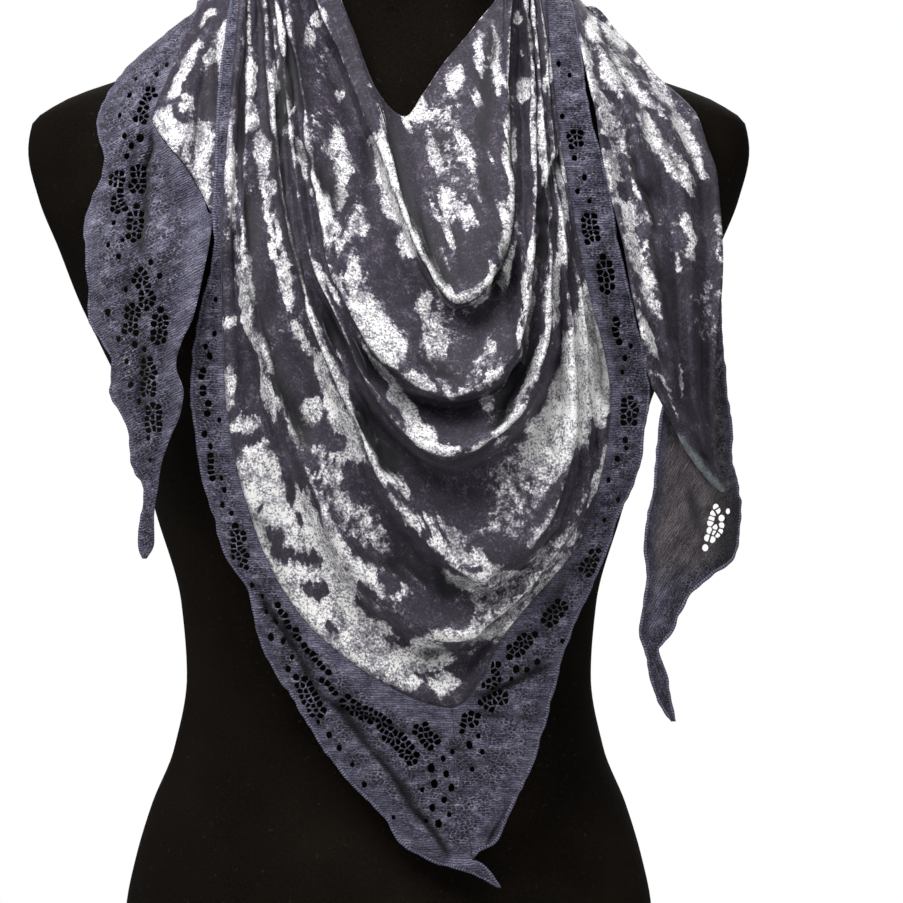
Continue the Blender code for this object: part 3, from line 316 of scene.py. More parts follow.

# Where the pile was crushed flat and shines (shade above 0), and where it stands and looks dark:
# right, down, half length, half width, lean in degrees with the lower end to the right, and shade. Some
# rows paint the folds' light: painted highlights on fold edges and the lit hem, painted shade down the
# hollows.
COWL_NAP = (
    # left limb, from the shoulder down
    (247, 72, 19, 6, 2, 1.0), (276, 28, 30, 5, 3, 0.7), (272, 95, 38, 4, 0, 0.8),
    (250, 112, 14, 8, 0, 0.7), (264, 160, 34, 9, 12, 0.6), (230, 170, 60, 5, 3, 0.8),
    (288, 106, 8, 7, 0, 0.9), (316, 8, 10, 6, -10, 0.9), (307, 28, 12, 5, 5, 0.7),
    (337, 90, 7, 5, 0, 0.7), (371, 136, 6, 6, 0, 0.8), (338, 150, 22, 9, 10, 0.8),
    (345, 186, 28, 11, 12, 0.7), (356, 222, 22, 9, 20, 0.7), (384, 165, 28, 9, 10, 0.9),
    (395, 205, 22, 13, 20, 0.9), (308, 170, 38, 6, 18, 0.8), (326, 215, 24, 7, 25, 0.8),
    (287, 128, 9, 5, -50, 0.7), (266, 210, 34, 4, 14, 0.9), (276, 262, 25, 5, 20, 0.9),
    (239, 247, 12, 5, 5, 0.6), (246, 291, 24, 8, 8, 1.0), (249, 320, 14, 6, 10, 0.9),
    (229, 325, 12, 5, -40, 0.8), (258, 345, 28, 5, 20, 0.8), (268, 378, 25, 5, 15, 0.7),
    (286, 288, 22, 7, 18, 1.0), (229, 388, 20, 7, 5, 0.8), (303, 338, 20, 6, 25, 0.5),
    (238, 190, 70, 6, 4, -0.9), (262, 40, 60, 9, 0, -0.8), (300, 60, 60, 9, 5, -0.8),
    (345, 50, 60, 20, 0, -0.8), (355, 110, 40, 16, 10, -0.8), (298, 195, 60, 8, 14, -0.8),
    (262, 265, 60, 9, 12, -1.0), (243, 436, 18, 8, 85, -0.9), (267, 425, 13, 6, 0, -0.8),
    (325, 176, 26, 5, 12, -0.9), (358, 196, 34, 5, 16, -0.9), (394, 240, 22, 11, 30, -0.9),
    (336, 262, 16, 7, 30, -0.8), (372, 288, 22, 6, 33, -0.7), (346, 140, 10, 6, 0, -0.7),
    (368, 246, 10, 5, 30, -0.7), (344, 214, 8, 4, 10, -0.6),
    # folds that run down to the right
    (335, 390, 42, 12, 22, 1.0), (338, 412, 30, 12, 24, 1.0), (360, 432, 45, 10, 32, 0.9),
    (330, 288, 26, 4, 32, 0.8), (352, 275, 42, 13, 33, 0.95), (378, 330, 40, 13, 35, 0.9),
    (384, 372, 44, 5, 30, 0.8), (403, 404, 30, 9, 30, 0.9), (424, 435, 14, 11, 35, 0.95),
    (410, 243, 16, 12, 10, 0.9), (314, 322, 20, 4, 20, 0.8), (311, 412, 15, 9, 0, 0.45),
    (244, 424, 16, 8, 90, 0.7), (269, 404, 22, 6, 8, 0.8), (297, 437, 15, 5, 28, 0.7),
    (340, 452, 30, 9, 85, 0.8), (364, 377, 62, 11, 31, -1.0), (400, 300, 45, 14, 15, -0.7),
    (394, 427, 40, 11, 31, -1.0), (240, 370, 35, 12, 5, -0.7), (290, 370, 30, 14, 10, -0.8),
    (330, 440, 20, 9, 80, -0.6), (455, 470, 60, 22, 88, -0.9), (361, 481, 30, 10, 35, -0.5),
    (400, 140, 35, 8, 10, -0.9),
    # lower left, under the last fold
    (288, 545, 95, 36, 33, 0.85), (350, 640, 70, 30, 62, 0.8), (345, 500, 60, 26, 38, -0.15),
    (515, 484, 34, 26, 40, 0.3), (280, 553, 12, 5, 60, -0.9), (292, 500, 8, 4, 10, -0.8),
    (365, 603, 12, 7, 60, -0.9), (391, 586, 11, 5, 60, -0.8), (452, 614, 17, 9, 80, -1.0),
    (330, 628, 10, 4, 60, -0.7), (262, 508, 5, 4, 0, -0.8), (345, 668, 9, 3, 60, -0.6),
    (396, 640, 12, 4, 75, -0.6), (424, 676, 12, 3, 80, -0.5), (300, 520, 6, 4, 0, -0.7),
    (318, 556, 9, 4, 40, -0.7), (517, 604, 60, 22, -62, 0.35), (390, 478, 30, 6, 48, 0.9),
    (425, 530, 46, 6, 48, 0.9), (458, 580, 18, 6, 60, 0.9), (352, 512, 24, 4, 60, 0.6),
    (362, 536, 22, 3, 70, 0.5), (338, 498, 14, 3, 70, 0.5), (330, 474, 16, 5, 88, 0.8),
    (262, 475, 42, 18, 8, 1.0), (282, 515, 40, 20, 25, 0.9), (312, 525, 55, 10, 32, 0.8),
    (338, 560, 50, 15, 38, 1.0), (302, 560, 25, 22, 30, 0.7), (352, 497, 45, 18, 35, -0.1),
    (372, 530, 40, 14, 38, 0.0), (362, 580, 22, 14, 45, 0.9), (340, 600, 30, 14, 45, 0.75),
    (402, 592, 16, 8, 55, 0.9), (375, 640, 28, 20, 60, 0.6), (400, 672, 30, 10, 75, 0.8),
    (443, 684, 14, 10, 90, 0.9), (425, 655, 26, 16, 80, 0.6), (463, 634, 50, 5, 95, 0.7),
    (289, 487, 14, 6, 25, -1.0), (275, 537, 13, 7, 50, -0.9), (313, 589, 13, 8, 70, -0.9),
    (382, 561, 22, 5, 50, -0.8), (416, 603, 14, 9, 70, -0.9), (443, 616, 18, 9, 70, -1.0),
    (367, 589, 10, 7, 60, -0.7), (427, 532, 7, 5, 0, -0.8), (504, 552, 20, 15, 60, -1.0),
    (494, 575, 36, 4, -80, 0.9), (473, 557, 30, 6, 60, 0.8), (443, 527, 26, 5, 65, 0.7),
    (545, 560, 50, 14, -50, 0.15), (500, 590, 40, 16, -75, 0.15),
    # right limb and the inside of the cowl
    (452, 75, 16, 6, -40, 0.9), (472, 38, 14, 5, -35, 0.6), (416, 104, 26, 4, -43, 1.1),
    (404, 128, 40, 7, 8, -1.0), (414, 176, 44, 7, 14, -1.0), (430, 236, 40, 6, 20, -0.9),
    (446, 150, 74, 24, 0, -0.3), (462, 120, 14, 7, -30, -0.8), (440, 192, 16, 6, -50, -0.7),
    (497, 60, 34, 5, 2, 0.9), (479, 85, 50, 4, 0, 0.7), (446, 120, 36, 16, 0, 0.0),
    (446, 148, 30, 4, -65, 0.9), (453, 208, 22, 4, -62, 0.9), (447, 230, 40, 4, 0, 0.7),
    (468, 215, 30, 5, -15, 0.6), (455, 180, 30, 14, 0, -0.15), (478, 262, 26, 11, -15, -0.9),
    (425, 200, 40, 8, 8, -0.6), (493, 158, 6, 5, 0, 1.0), (495, 118, 20, 7, 0, -1.0),
    (466, 92, 9, 6, 0, -0.7), (440, 280, 26, 4, 32, 0.8), (505, 250, 46, 5, -3, 0.9),
    (494, 285, 14, 4, -35, 0.8), (478, 302, 12, 4, -70, 0.7), (511, 150, 60, 4, 0, 0.8),
    (525, 86, 14, 8, 0, 0.9), (541, 140, 44, 6, 4, 0.9), (549, 62, 30, 4, -8, 0.8),
    (516, 8, 10, 6, 0, 0.8), (534, 10, 10, 6, 0, 0.8), (522, 150, 60, 5, 0, -0.9),
    (542, 58, 22, 5, -6, -0.8), (515, 31, 16, 6, 0, -0.8), (526, 300, 66, 5, -6, 0.9),
    (513, 330, 60, 5, -8, -0.9), (562, 200, 60, 5, 1, 0.8), (556, 275, 50, 5, -10, 0.9),
    (536, 360, 50, 5, -22, 0.9), (508, 425, 26, 5, -42, 0.9), (545, 330, 60, 5, -18, -0.8),
    (424, 307, 12, 8, 0, 0.7), (436, 340, 28, 13, -5, 0.3), (484, 358, 20, 7, -30, 0.4),
    (466, 355, 14, 9, 0, -0.9), (400, 345, 16, 9, 20, 0.7), (487, 318, 24, 14, -10, -1.0),
    (430, 384, 30, 4, 62, 0.6), (492, 379, 14, 4, -65, 0.9), (487, 405, 10, 8, 0, 0.5),
    (446, 450, 18, 4, 85, 0.9), (475, 428, 18, 12, -40, -1.0), (440, 405, 30, 7, 80, -0.8),
    # right flank
    (552, 434, 46, 24, -35, 1.2), (590, 305, 26, 8, 8, 1.0), (597, 350, 40, 10, 6, 1.1),
    (600, 400, 26, 10, -6, 1.1), (584, 380, 30, 14, 0, 1.0), (295, 556, 26, 5, 80, -0.8),
    (258, 429, 12, 14, 0, -0.9), (400, 500, 40, 14, 60, -0.5), (582, 325, 22, 9, 5, 1.0),
    (576, 360, 34, 16, -10, 1.5), (566, 395, 32, 20, -25, 1.5), (590, 400, 16, 12, -20, 1.3),
    (556, 440, 30, 22, -30, 1.3), (540, 470, 20, 18, 0, 0.3), (520, 490, 20, 16, 0, 0.1),
    (562, 485, 62, 5, -38, -1.0), (598, 470, 40, 4, -20, 0.9),
)
# The ends' pile, in the same columns. Some rows on the right end paint highlights along its rolled fold.
LEFT_TAIL_NAP = (
    (203, 8, 14, 7, -25, 0.8), (180, 62, 34, 6, -26, 0.9), (206, 49, 9, 7, 0, 0.9),
    (220, 35, 30, 6, -6, 0.9), (221, 75, 16, 6, 0, 0.8), (181, 98, 10, 6, 0, 0.9),
    (168, 122, 22, 15, 30, 1.0), (201, 140, 36, 9, -3, 0.8), (202, 182, 24, 9, 0, 0.9),
    (192, 46, 32, 7, -15, -0.9), (210, 84, 10, 7, 0, -0.8), (206, 105, 15, 8, 0, -1.0),
    (175, 112, 12, 4, 40, -0.8), (208, 14, 12, 8, 0, -0.6),
)
RIGHT_TAIL_NAP = (
    (590, 62, 36, 4, 8, 0.9), (596, 20, 18, 7, 10, 0.8), (620, 20, 20, 9, 25, 0.9),
    (612, 66, 24, 9, 20, 0.5), (604, 110, 34, 6, 12, 0.5), (612, 165, 34, 8, 14, 0.55),
    (628, 213, 18, 9, 14, 0.9), (629, 240, 14, 7, 10, 0.8), (637, 265, 20, 6, 14, 0.6),
    (648, 288, 24, 5, 12, 0.9), (655, 302, 16, 3, 12, 0.8), (646, 336, 24, 3.5, 24, 1.1),
    (630, 62, 26, 7, 30, 0.9), (646, 92, 30, 7, 35, 0.7), (655, 130, 24, 10, 35, 0.7),
    (676, 158, 30, 8, 38, 0.9), (664, 120, 28, 5, 35, -0.7), (690, 128, 30, 6, 32, 0.9),
    (700, 152, 26, 7, 26, 0.9), (668, 84, 24, 7, 34, 0.8), (655, 60, 22, 6, 34, 0.8),
    (688, 184, 14, 5, 40, 0.8), (645, 186, 16, 6, 16, -0.8), (640, 160, 20, 5, 18, -0.7),
    (706, 190, 30, 14, 20, -0.9), (664, 186, 12, 12, 20, -0.6), (688, 224, 15, 6, 10, 0.7),
    (692, 245, 13, 5, -5, 0.8), (679, 262, 9, 3, 10, 0.8), (660, 224, 18, 8, 15, -0.5),
    (700, 262, 20, 8, 0, -0.6), (707, 286, 12, 9, 0, 0.05), (703, 330, 12, 10, 0, 0.05),
    (690, 380, 90, 24, 10, -1.0), (676, 330, 60, 10, 10, -0.9), (679, 378, 20, 2.5, 8, 0.8),
    (660, 360, 20, 8, 25, -0.9), (680, 415, 40, 10, 40, -1.0), (722, 240, 30, 4, 2, 0.3),
    (616, 92, 9, 5, 20, -0.9), (605, 140, 8, 5, 20, -0.6), (622, 190, 10, 5, 15, -0.6),
)
LEFT_TAIL_CREASES = (
    (196, 60, 192, 168, -1.8, 2.6), (212, 20, 208, 120, -1.2, 3.5), (180, 120, 200, 190, 1.2, 4.0),
    (147, 124, 143, 192, -3.8, 1.7), (143, 188, 138, 256, -3.2, 2.2), (154, 130, 150, 196, 1.8, 2.4),
    (126, 130, 122, 200, -1.6, 3.0), (118, 150, 120, 240, 1.4, 5.0), (160, 140, 178, 240, -1.2, 4.0),
    (172, 240, 150, 330, -1.4, 4.0), (130, 240, 128, 330, -1.2, 4.0), (170, 290, 168, 420, 1.6, 4.0),
    (140, 330, 150, 430, -1.4, 4.0), (150, 430, 156, 540, 1.6, 3.0), (110, 200, 150, 260, -1.0, 3.0),
    (150, 60, 128, 110, 1.4, 5.0),
)
RIGHT_TAIL_CREASES = (
    (603, 80, 626, 124, -3.0, 2.2), (624, 118, 641, 172, -3.4, 2.2), (640, 168, 653, 232, -3.6, 2.2),
    (652, 228, 661, 300, -3.4, 2.2), (660, 296, 672, 350, -2.4, 2.4), (648, 336, 690, 430, -3.0, 2.4),
    (688, 426, 716, 470, -2.2, 2.4), (607, 16, 645, 76, -1.6, 3.0), (632, 120, 650, 190, 1.6, 3.0),
    (596, 40, 622, 140, 1.4, 4.0), (660, 110, 700, 200, 1.8, 5.0), (650, 100, 690, 180, -1.6, 3.0),
    (668, 300, 680, 400, 1.8, 3.0), (690, 230, 700, 400, -1.4, 5.0), (700, 90, 728, 250, -1.0, 6.0),
    (640, 320, 668, 392, 2.6, 3.0), (664, 388, 700, 452, 2.4, 3.0),
)
REVERSE_CREASES = (
    (672, 450, 664, 560, 1.4, 4.0), (690, 470, 700, 560, -1.6, 4.0), (650, 600, 690, 560, -1.4, 3.0),
    (655, 560, 662, 640, 1.2, 3.0), (700, 480, 728, 540, 1.6, 3.0), (655, 655, 668, 710, 1.6, 2.0),
)
TRIM_CREASES = (
    (218, 60, 217, 230, 1.2, 2.0), (203, 330, 212, 470, 1.4, 5.0), (212, 470, 246, 590, 1.4, 4.0),
    (206, 400, 224, 520, -1.4, 3.0), (262, 590, 300, 662, -2.8, 2.4), (298, 658, 330, 708, -3.4, 2.4),
    (328, 704, 378, 757, -3.8, 2.6), (376, 753, 410, 808, -3.8, 2.6), (408, 803, 450, 862, -3.6, 2.6),
    (255, 604, 295, 672, 1.6, 3.5), (292, 668, 322, 716, 2.4, 3.5), (320, 712, 368, 768, 2.6, 3.5),
    (366, 764, 402, 822, 2.6, 3.5), (398, 816, 440, 858, 2.0, 3.0), (336, 676, 400, 726, 1.8, 3.0),
    (350, 706, 424, 742, -1.8, 2.4), (420, 742, 446, 800, 1.6, 4.0), (300, 630, 340, 690, 1.4, 3.0),
    (452, 862, 496, 884, 1.6, 2.0), (510, 800, 482, 848, -2.2, 1.8), (500, 800, 476, 846, 1.6, 2.4),
    (468, 700, 560, 660, -2.4, 3.0), (480, 690, 540, 640, 1.6, 4.0), (540, 640, 600, 520, -1.6, 4.0),
    (586, 560, 628, 440, 1.4, 5.0), (541, 1, 573, 70, 2.2, 3.0), (573, 70, 606, 220, 1.4, 4.0),
    (600, 230, 626, 400, -1.2, 4.0), (460, 720, 540, 716, -1.2, 3.0), (456, 760, 530, 742, 1.2, 3.0),
)

CELL_PITCH = 2.9
BAR = 0.55                      # width of the threads between two cells of a net
CELL_REACH = 2.0
EYELET = 1.6                    # radius, pitch and places across the width of the wraps' eyelets
EYELET_PITCH = 8.5
EYELET_PLACES = (0.32, 0.62, 0.45)
NARROWEST_WITH_EYELETS = 12
TRIM_MESH = 2.0                 # size of the triangles of the sheets
VELVET_MESH = 1.7
LEFT_RIBS = 28.0                # lean of the gauze's ribs on the tails, in degrees
RIGHT_RIBS = 60.0
RIM = 0.9                       # radius of the overlocked edge
RIM_WAVE = (1.3, 16.0)          # height and length of its waves
RIM_REACH = 12.0
TURN = 1.9                      # radius of the velvet's turned edge
TURN_ROWS = 6
CORD_SIDES = 7
CORD_TAPER = 6.0                # the overlocked edge thins over this length at its ends
CREASE_DEPTH = 1.5
CREASE_WANDER = 1.2
FOLD_EDGES = (0.9, 0.9, 0.8, 0.7, 0.45)   # strength of each fold's rolled edge and its painted highlight, from the first down
HOLLOW_BELOW = 5.0              # the hollow under a rolled edge, with its painted shade, lies this far from it
LIP_HIGHLIGHT_WIDTH = 0.95                # width of the painted highlight beside a trough
COWL_COLUMNS = 348              # points around the cowl, and rows for each ridge and hollow
COWL_ROWS = 9


def column(table, names, name):
    """One named column of a table, as an array."""
    return np.array([row[names.index(name)] for row in table], dtype=float)


def named_rows(table, names):
    """The rows of a table by their names, each a dictionary of its columns."""
    return {row[0]: dict(zip(names, row)) for row in table}


def smooth_curve(places, values):
    """A curve through the values that never swings past them (monotone cubic)."""
    x = np.asarray(places, dtype=float)
    v = np.asarray(values, dtype=float)
    order = np.argsort(x)
    x, v = x[order], v[order]
    step = np.diff(x)
    slope = (np.diff(v, axis=0).T / step).T
    tangent = np.zeros_like(v)
    tangent[0], tangent[-1] = slope[0], slope[-1]
    if len(x) > 2:
        before, after = slope[:-1], slope[1:]
        same_way = before * after > 0
        total = np.where(same_way, before + after, 1.0)
        tangent[1:-1] = np.where(same_way, 2 * before * after / total, 0.0)

    def at(where):
        where = np.clip(np.asarray(where, dtype=float), x[0], x[-1])
        i = np.clip(np.searchsorted(x, where, side="right") - 1, 0, len(x) - 2)
        h = step[i]
        t = (where - x[i]) / h
        if v.ndim > 1:
            h, t = h[..., None], t[..., None]
        start = v[i] * (2 * t**3 - 3 * t**2 + 1) + tangent[i] * h * (t**3 - 2 * t**2 + t)
        end = v[i + 1] * (3 * t**2 - 2 * t**3) + tangent[i + 1] * h * (t**3 - t**2)
        return start + end

    return at


def hump(distance, width):
    """1 at distance 0, falling off softly over the width."""
    return np.exp(-((distance / width) ** 2))


def run_along(line):
    """How far along a line each of its points is."""
    return np.concatenate([[0], np.cumsum(np.linalg.norm(np.diff(line, axis=0), axis=1))])


def unit(vectors):
    """Vectors brought to length 1."""
    return vectors / np.maximum(np.linalg.norm(vectors, axis=-1), 1e-9)[..., None]


def directions(line):
    """The direction of a line at each of its points."""
    return unit(np.gradient(line, axis=0))


def ease(low, high, value):
    """0 below low, 1 above high, and a soft step between."""
    t = np.clip((np.asarray(value, dtype=float) - low) / (high - low), 0, 1)
    return t * t * (3 - 2 * t)


FORM_CURVES = {
    name: smooth_curve(column(FORM, FORM_COLUMNS, "height"), column(FORM, FORM_COLUMNS, name))
    for name in FORM_COLUMNS[1:]
}
HANG_CURVES = {
    name: smooth_curve(column(HANG, HANG_COLUMNS, "height"), column(HANG, HANG_COLUMNS, name))
    for name in HANG_COLUMNS[1:]
}
CREST_HEIGHT = smooth_curve(column(CREST, CREST_COLUMNS, "out"), column(CREST, CREST_COLUMNS, "height"))


def form_reach(points):
    """1 on the form's surface, less inside it and more outside."""
    x, y, z = points.T
    depth = np.where(y < 0, FORM_CURVES["front"](z), FORM_CURVES["back"](z))
    square = FORM_CURVES["square"](z)
    across = np.abs(x / FORM_CURVES["half_width"](z)) ** square
    return (across + np.abs(y / depth) ** square) ** (1 / square)


def push_clear(points, clear=CLEAR):
    """Moves points outward until they are clear of the form."""
    points = np.array(points, dtype=float)
    for _ in range(6):
        value = form_reach(points) - 1
        sides = [form_reach(points + axis) - form_reach(points - axis) for axis in np.eye(3)]
        slope = np.stack(sides, axis=1) / 2
        steep = np.maximum(np.linalg.norm(slope, axis=1), 1e-4)
        lack = np.clip(clear - value / steep, 0, None)
        points += (slope.T * lack / steep).T
    return points


def hang_depth(x, z):
    """Depth of the surface that the cloth in front hangs on."""
    share = np.clip(np.abs(x) / HANG_CURVES["half_width"](z), 0, 0.97)
    return HANG_CURVES["front"](z) * (1 - share**HANG_SQUARE) ** (1 / HANG_SQUARE)


def front_point(x, z, lift):
    """A point of the cloth in front, which turns over the shoulder near its crest."""
    below = np.clip((CREST_HEIGHT(np.abs(x)) - z) / DROP_OVER, 0, 1)
    turn = np.sqrt(1 - (1 - below) ** 2)
    return np.stack([x, -turn * (hang_depth(x, z) + lift), z], axis=-1)


def trim_lift(x, z):
    """Lift of the front trim. Its left strip lies on the tail above, and behind the tail below."""
    strip = (STRIP_LIFT - TRIM_LIFT) * ease(*STRIP_END, z) * (np.asarray(x) < 0)
    return TRIM_LIFT + strip


def swag_line(row):
    """The line of one fold seen from the front, from the left shoulder round to the right."""
    bottom = row["bottom"]
    shares = np.array(LIMB_SHARES)
    halves = []
    for places in (row["left"], row["right"]):
        top = float(CREST_HEIGHT(abs(places[0])))
        heights = top - shares * (top - bottom[1])
        halves.append(np.vstack([np.column_stack([places, heights]), bottom]))
    whole = np.vstack([halves[0], halves[1][-2::-1]])
    length = run_along(whole)
    line = smooth_curve(length, whole)(np.linspace(0, length[-1], 1200))
    middle = int(np.argmin(np.linalg.norm(line - np.array(bottom), axis=1)))
    half = COWL_COLUMNS // 2 + 1
    return np.vstack([even_points(line[: middle + 1], half)[:-1], even_points(line[middle:], half)])


def even_points(line, count):
    """Points evenly spaced along a line."""
    length = run_along(line)
    places = np.linspace(0, length[-1], count)
    return np.column_stack([np.interp(places, length, line[:, k]) for k in range(line.shape[1])])


def along_swag(crest, left, bottom, right, count):
    """A value that runs over the left limb, the bottom and the right limb of a fold."""
    u = np.linspace(0, 1, count)
    return smooth_curve(LINE_SHARES, (crest, left, bottom, right, crest))(u)


def fold_spacing(line, other):
    """Distance between two folds, square to the first of them."""
    along = directions(line[:, :2])
    step = (other - line)[:, :2]
    return np.maximum(np.abs(step[:, 0] * along[:, 1] - step[:, 1] * along[:, 0]), 1.0)


def cowl_rows():
    """Ridges and hollows of the cowl in turn, each as points with columns x, z and lift."""
    count = COWL_COLUMNS + 1
    folds = list(named_rows(SWAGS, SWAG_COLUMNS).values())
    ridges = []
    for row in folds:
        line = swag_line(row)
        lift = along_swag(CREST_LIFT, row["lift_left"], row["lift"], row["lift_right"], count)
        if row["name"] == "hem":
            lift = trim_lift(line[:, 0], line[:, 1])
        ridges.append(np.column_stack([line, lift]))
    rows = [ridges[0]]
    for row, ridge, after in zip(folds[1:], ridges[1:], ridges[2:] + [None]):
        rows.append(ridge)
        if after is None:
            continue
        gap = fold_spacing(ridge, after)
        wanted = along_swag(0.0, row["dip"] * LIMB_DIP, row["dip"], row["dip"] * LIMB_DIP, count)
        dip = np.minimum(wanted, TIGHTEST_FOLD * gap**2)
        tuck = 0.5 + (row["tuck"] - 0.5) * ease(*TUCK_GAPS, gap)
        hollow = ridge + (after - ridge) * tuck[:, None]
        spare = np.abs(ridge[:, 2] - after[:, 2]) / 2 * ease(*STEP_GAPS, gap)
        hollow[:, 2] = (ridge[:, 2] + after[:, 2]) / 2 - spare - dip
        rows.append(hollow)
    hem, above = rows[-1], rows[-2]
    gap = fold_spacing(hem, above)
    border = hem + (above - hem) * (np.minimum(HEM_BORDER / gap, 0.4))[:, None]
    border[:, 2] = trim_lift(border[:, 0], border[:, 1])
    return rows[:-1] + [border, hem]


def cowl_grid():
    """The velvet of the cowl as a grid of points, from the neckline down to the hem."""
    rows = np.array(cowl_rows())
    places = np.arange(len(rows))
    fine = smooth_curve(places, rows.reshape(len(rows), -1))
    last = len(rows) - 1
    steps = np.append(np.linspace(0, last - 1, (last - 1) * COWL_ROWS + 1), [last - 0.5, last])
    grid = fine(steps).reshape(len(steps), COWL_COLUMNS + 1, 3)
    return grid, steps


def soft_noise(x, y, size, seed=0):
    """Smooth uneven values between about -1 and 1, that change over the given size."""
    x, y = np.asarray(x, dtype=float) / size, np.asarray(y, dtype=float) / size
    i, j = np.floor(x), np.floor(y)
    fx, fy = x - i, y - j
    fx, fy = fx * fx * (3 - 2 * fx), fy * fy * (3 - 2 * fy)

    def corner(a, b):
        value = np.sin((i + a) * 127.1 + (j + b) * 311.7 + seed * 74.7) * 43758.5453
        return (value - np.floor(value)) * 2 - 1

    lower = corner(0, 0) * (1 - fx) + corner(1, 0) * fx
    upper = corner(0, 1) * (1 - fx) + corner(1, 1) * fx
    return lower * (1 - fy) + upper * fy


def line_noise(run, size, seed):
    """Soft noise along a line."""
    return soft_noise(run, run * 0, size, seed)


def rough_noise(x, y, size, octaves=3, seed=0):
    """Soft noise with finer layers over it, each half the size and half the height of the last."""
    total = 0.0
    for k in range(octaves):
        total = total + soft_noise(x, y, size / 2**k, seed + 17 * k) / 2**k
    return total


def front_place(right, down):
    """From steps right and down on the front to X and Z."""
    return FRONT_ZERO[0] + right * FRONT_STEP, FRONT_ZERO[1] - down * FRONT_STEP


def crease_places(table, x, z):
    """For each crease of a table, its length, height and width, each point's place along and across it,
    and its seed. The lines wander a little."""
    x = x + CREASE_WANDER * soft_noise(x, z, 9.0, 3)
    z = z + CREASE_WANDER * soft_noise(x, z, 9.0, 5)
    for right_1, down_1, right_2, down_2, height, width in table:
        a, b = (np.array(front_place(*place)) for place in ((right_1, down_1), (right_2, down_2)))
        length = np.linalg.norm(b - a)
        along = (b - a) / length
        s = (x - a[0]) * along[0] + (z - a[1]) * along[1]
        t = (x - a[0]) * along[1] - (z - a[1]) * along[0]
        t = t + 0.6 * width * np.sin(s / length * 3.0 + right_1)
        yield length, height, width, s, t, right_1


def fading(s, length, start, end):
    """1 along a crease, rising from 0 and falling back to it between two shares of its length each."""
    return ease(start[0] * length, start[1] * length, s) * (1 - ease(end[0] * length, end[1] * length, s))


def creases(table, x, z):
    """Height of the listed ridges and troughs at each point, soft and uneven along their length."""
    total = np.zeros_like(x)
    for length, height, width, s, t, seed in crease_places(table, x, z):
        wide = np.where(t > 0, width * 0.8, width * 1.3)
        uneven = 1 + 0.35 * soft_noise(s, t, length * 0.3 + 4, seed)
        fade = fading(s, length, (-0.12, 0.25), (0.75, 1.12))
        total += height * uneven * fade * hump(t, wide)
    return total


def lip_highlights(table, x, z):
    """A painted highlight along the narrow edge beside each trough, broken along its length."""
    total = np.zeros_like(x)
    for length, height, width, s, t, seed in crease_places([row for row in table if row[4] <= 0], x, z):
        t = t - width - 0.7 + 0.5 * line_noise(s, 3.0, 7)
        fade = fading(s, length, (-0.05, 0.2), (0.8, 1.05))
        broken = np.clip(0.6 + 0.9 * line_noise(s, 9.0, seed + 3), 0, 1)
        total = np.maximum(total, -height / 2.4 * broken * fade * hump(t, LIP_HIGHLIGHT_WIDTH))
    return total


def nap_of(table, x, z, plain):
    """How the pile lies: above 0 pressed flat and shining, below 0 upright and dark. Small places come
    last, over the larger ones."""
    x = x + 1.6 * rough_noise(x, z, 7.0, 3, 11)
    z = z + 1.6 * rough_noise(x, z, 7.0, 3, 23)
    total = np.array(plain, dtype=float)
    largest_first = sorted(table, key=lambda row: -row[2] * row[3])
    for right, down, half_length, half_width, lean, shade in largest_first:
        px, pz = front_place(right, down)
        turn = math.radians(lean)
        down_by, across_by = pz - z, x - px
        s = across_by * math.sin(turn) + down_by * math.cos(turn)
        t = across_by * math.cos(turn) - down_by * math.sin(turn)
        far = np.sqrt((s / (half_length * FRONT_STEP)) ** 2 + (t / (half_width * FRONT_STEP)) ** 2)
        total += (shade - total) * (1 - ease(0.7, 1.3, far))
    return total


def surface_lengths(grid):
    """Distances along and across a grid of points, for a pattern that follows the cloth."""
    middle = grid.shape[1] // 2
    step = np.linalg.norm(np.diff(grid, axis=1), axis=2)
    along = np.concatenate([np.zeros((len(grid), 1)), np.cumsum(step, axis=1)], axis=1)
    along -= along[:, middle:middle + 1]
    step = np.linalg.norm(np.diff(grid, axis=0), axis=2)
    across = np.concatenate([np.zeros((1, grid.shape[1])), np.cumsum(step, axis=0)], axis=0)
    return along, across


def grid_normals(grid, outward):
    """Normals of a grid of points, turned to the side that `outward` gives for its middle point."""
    normal = unit(np.cross(np.gradient(grid, axis=0), np.gradient(grid, axis=1)))
    middle = normal[grid.shape[0] // 2, grid.shape[1] // 2]
    return normal if np.dot(middle, outward) > 0 else -normal


def make_piece(name, points, faces, material, nodes=(), wall=0.0, uv=None, values=None):
    """A finished piece from points in millimetres, riding on the part's one body."""
    mesh = bpy.data.meshes.new(name)
    mesh.from_pydata((np.asarray(points) * MM).tolist(), [], faces)
    mesh.update()
    if uv is not None:
        corners = np.zeros(len(mesh.loops), dtype=np.int32)
        mesh.loops.foreach_get("vertex_index", corners)
        layer = mesh.uv_layers.new(name="cloth")
        layer.data.foreach_set("uv", (np.asarray(uv) * MM)[corners].astype(np.float32).ravel())
    for key, value in (values or {}).items():
        attribute = mesh.attributes.new(key, "FLOAT", "POINT")
        attribute.data.foreach_set("value", np.asarray(value, dtype=np.float32).ravel())
    mesh.materials.append(material)
    mesh.shade_smooth()
    piece = bpy.data.objects.new(name, mesh)
    bpy.context.scene.collection.objects.link(piece)
    if wall:
        shell = piece.modifiers.new("wall", "SOLIDIFY")
        shell.thickness = wall * MM
        shell.offset = 0
        shell.use_even_offset = False
    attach(piece, "root")
    if nodes:
        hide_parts(*nodes)
    return piece


def grid_faces(rows, columns, closed=False):
    """Quads of a grid of points, row after row. A closed grid, of rings, faces the other way."""
    across = columns if closed else columns - 1
    i, j = np.meshgrid(np.arange(rows - 1), np.arange(across), indexing="ij")
    here, below, after = i * columns, (i + 1) * columns, (j + 1) % columns
    quads = np.stack([here + j, below + j, below + after, here + after], axis=-1).reshape(-1, 4)
    return (quads[:, ::-1] if closed else quads).tolist()


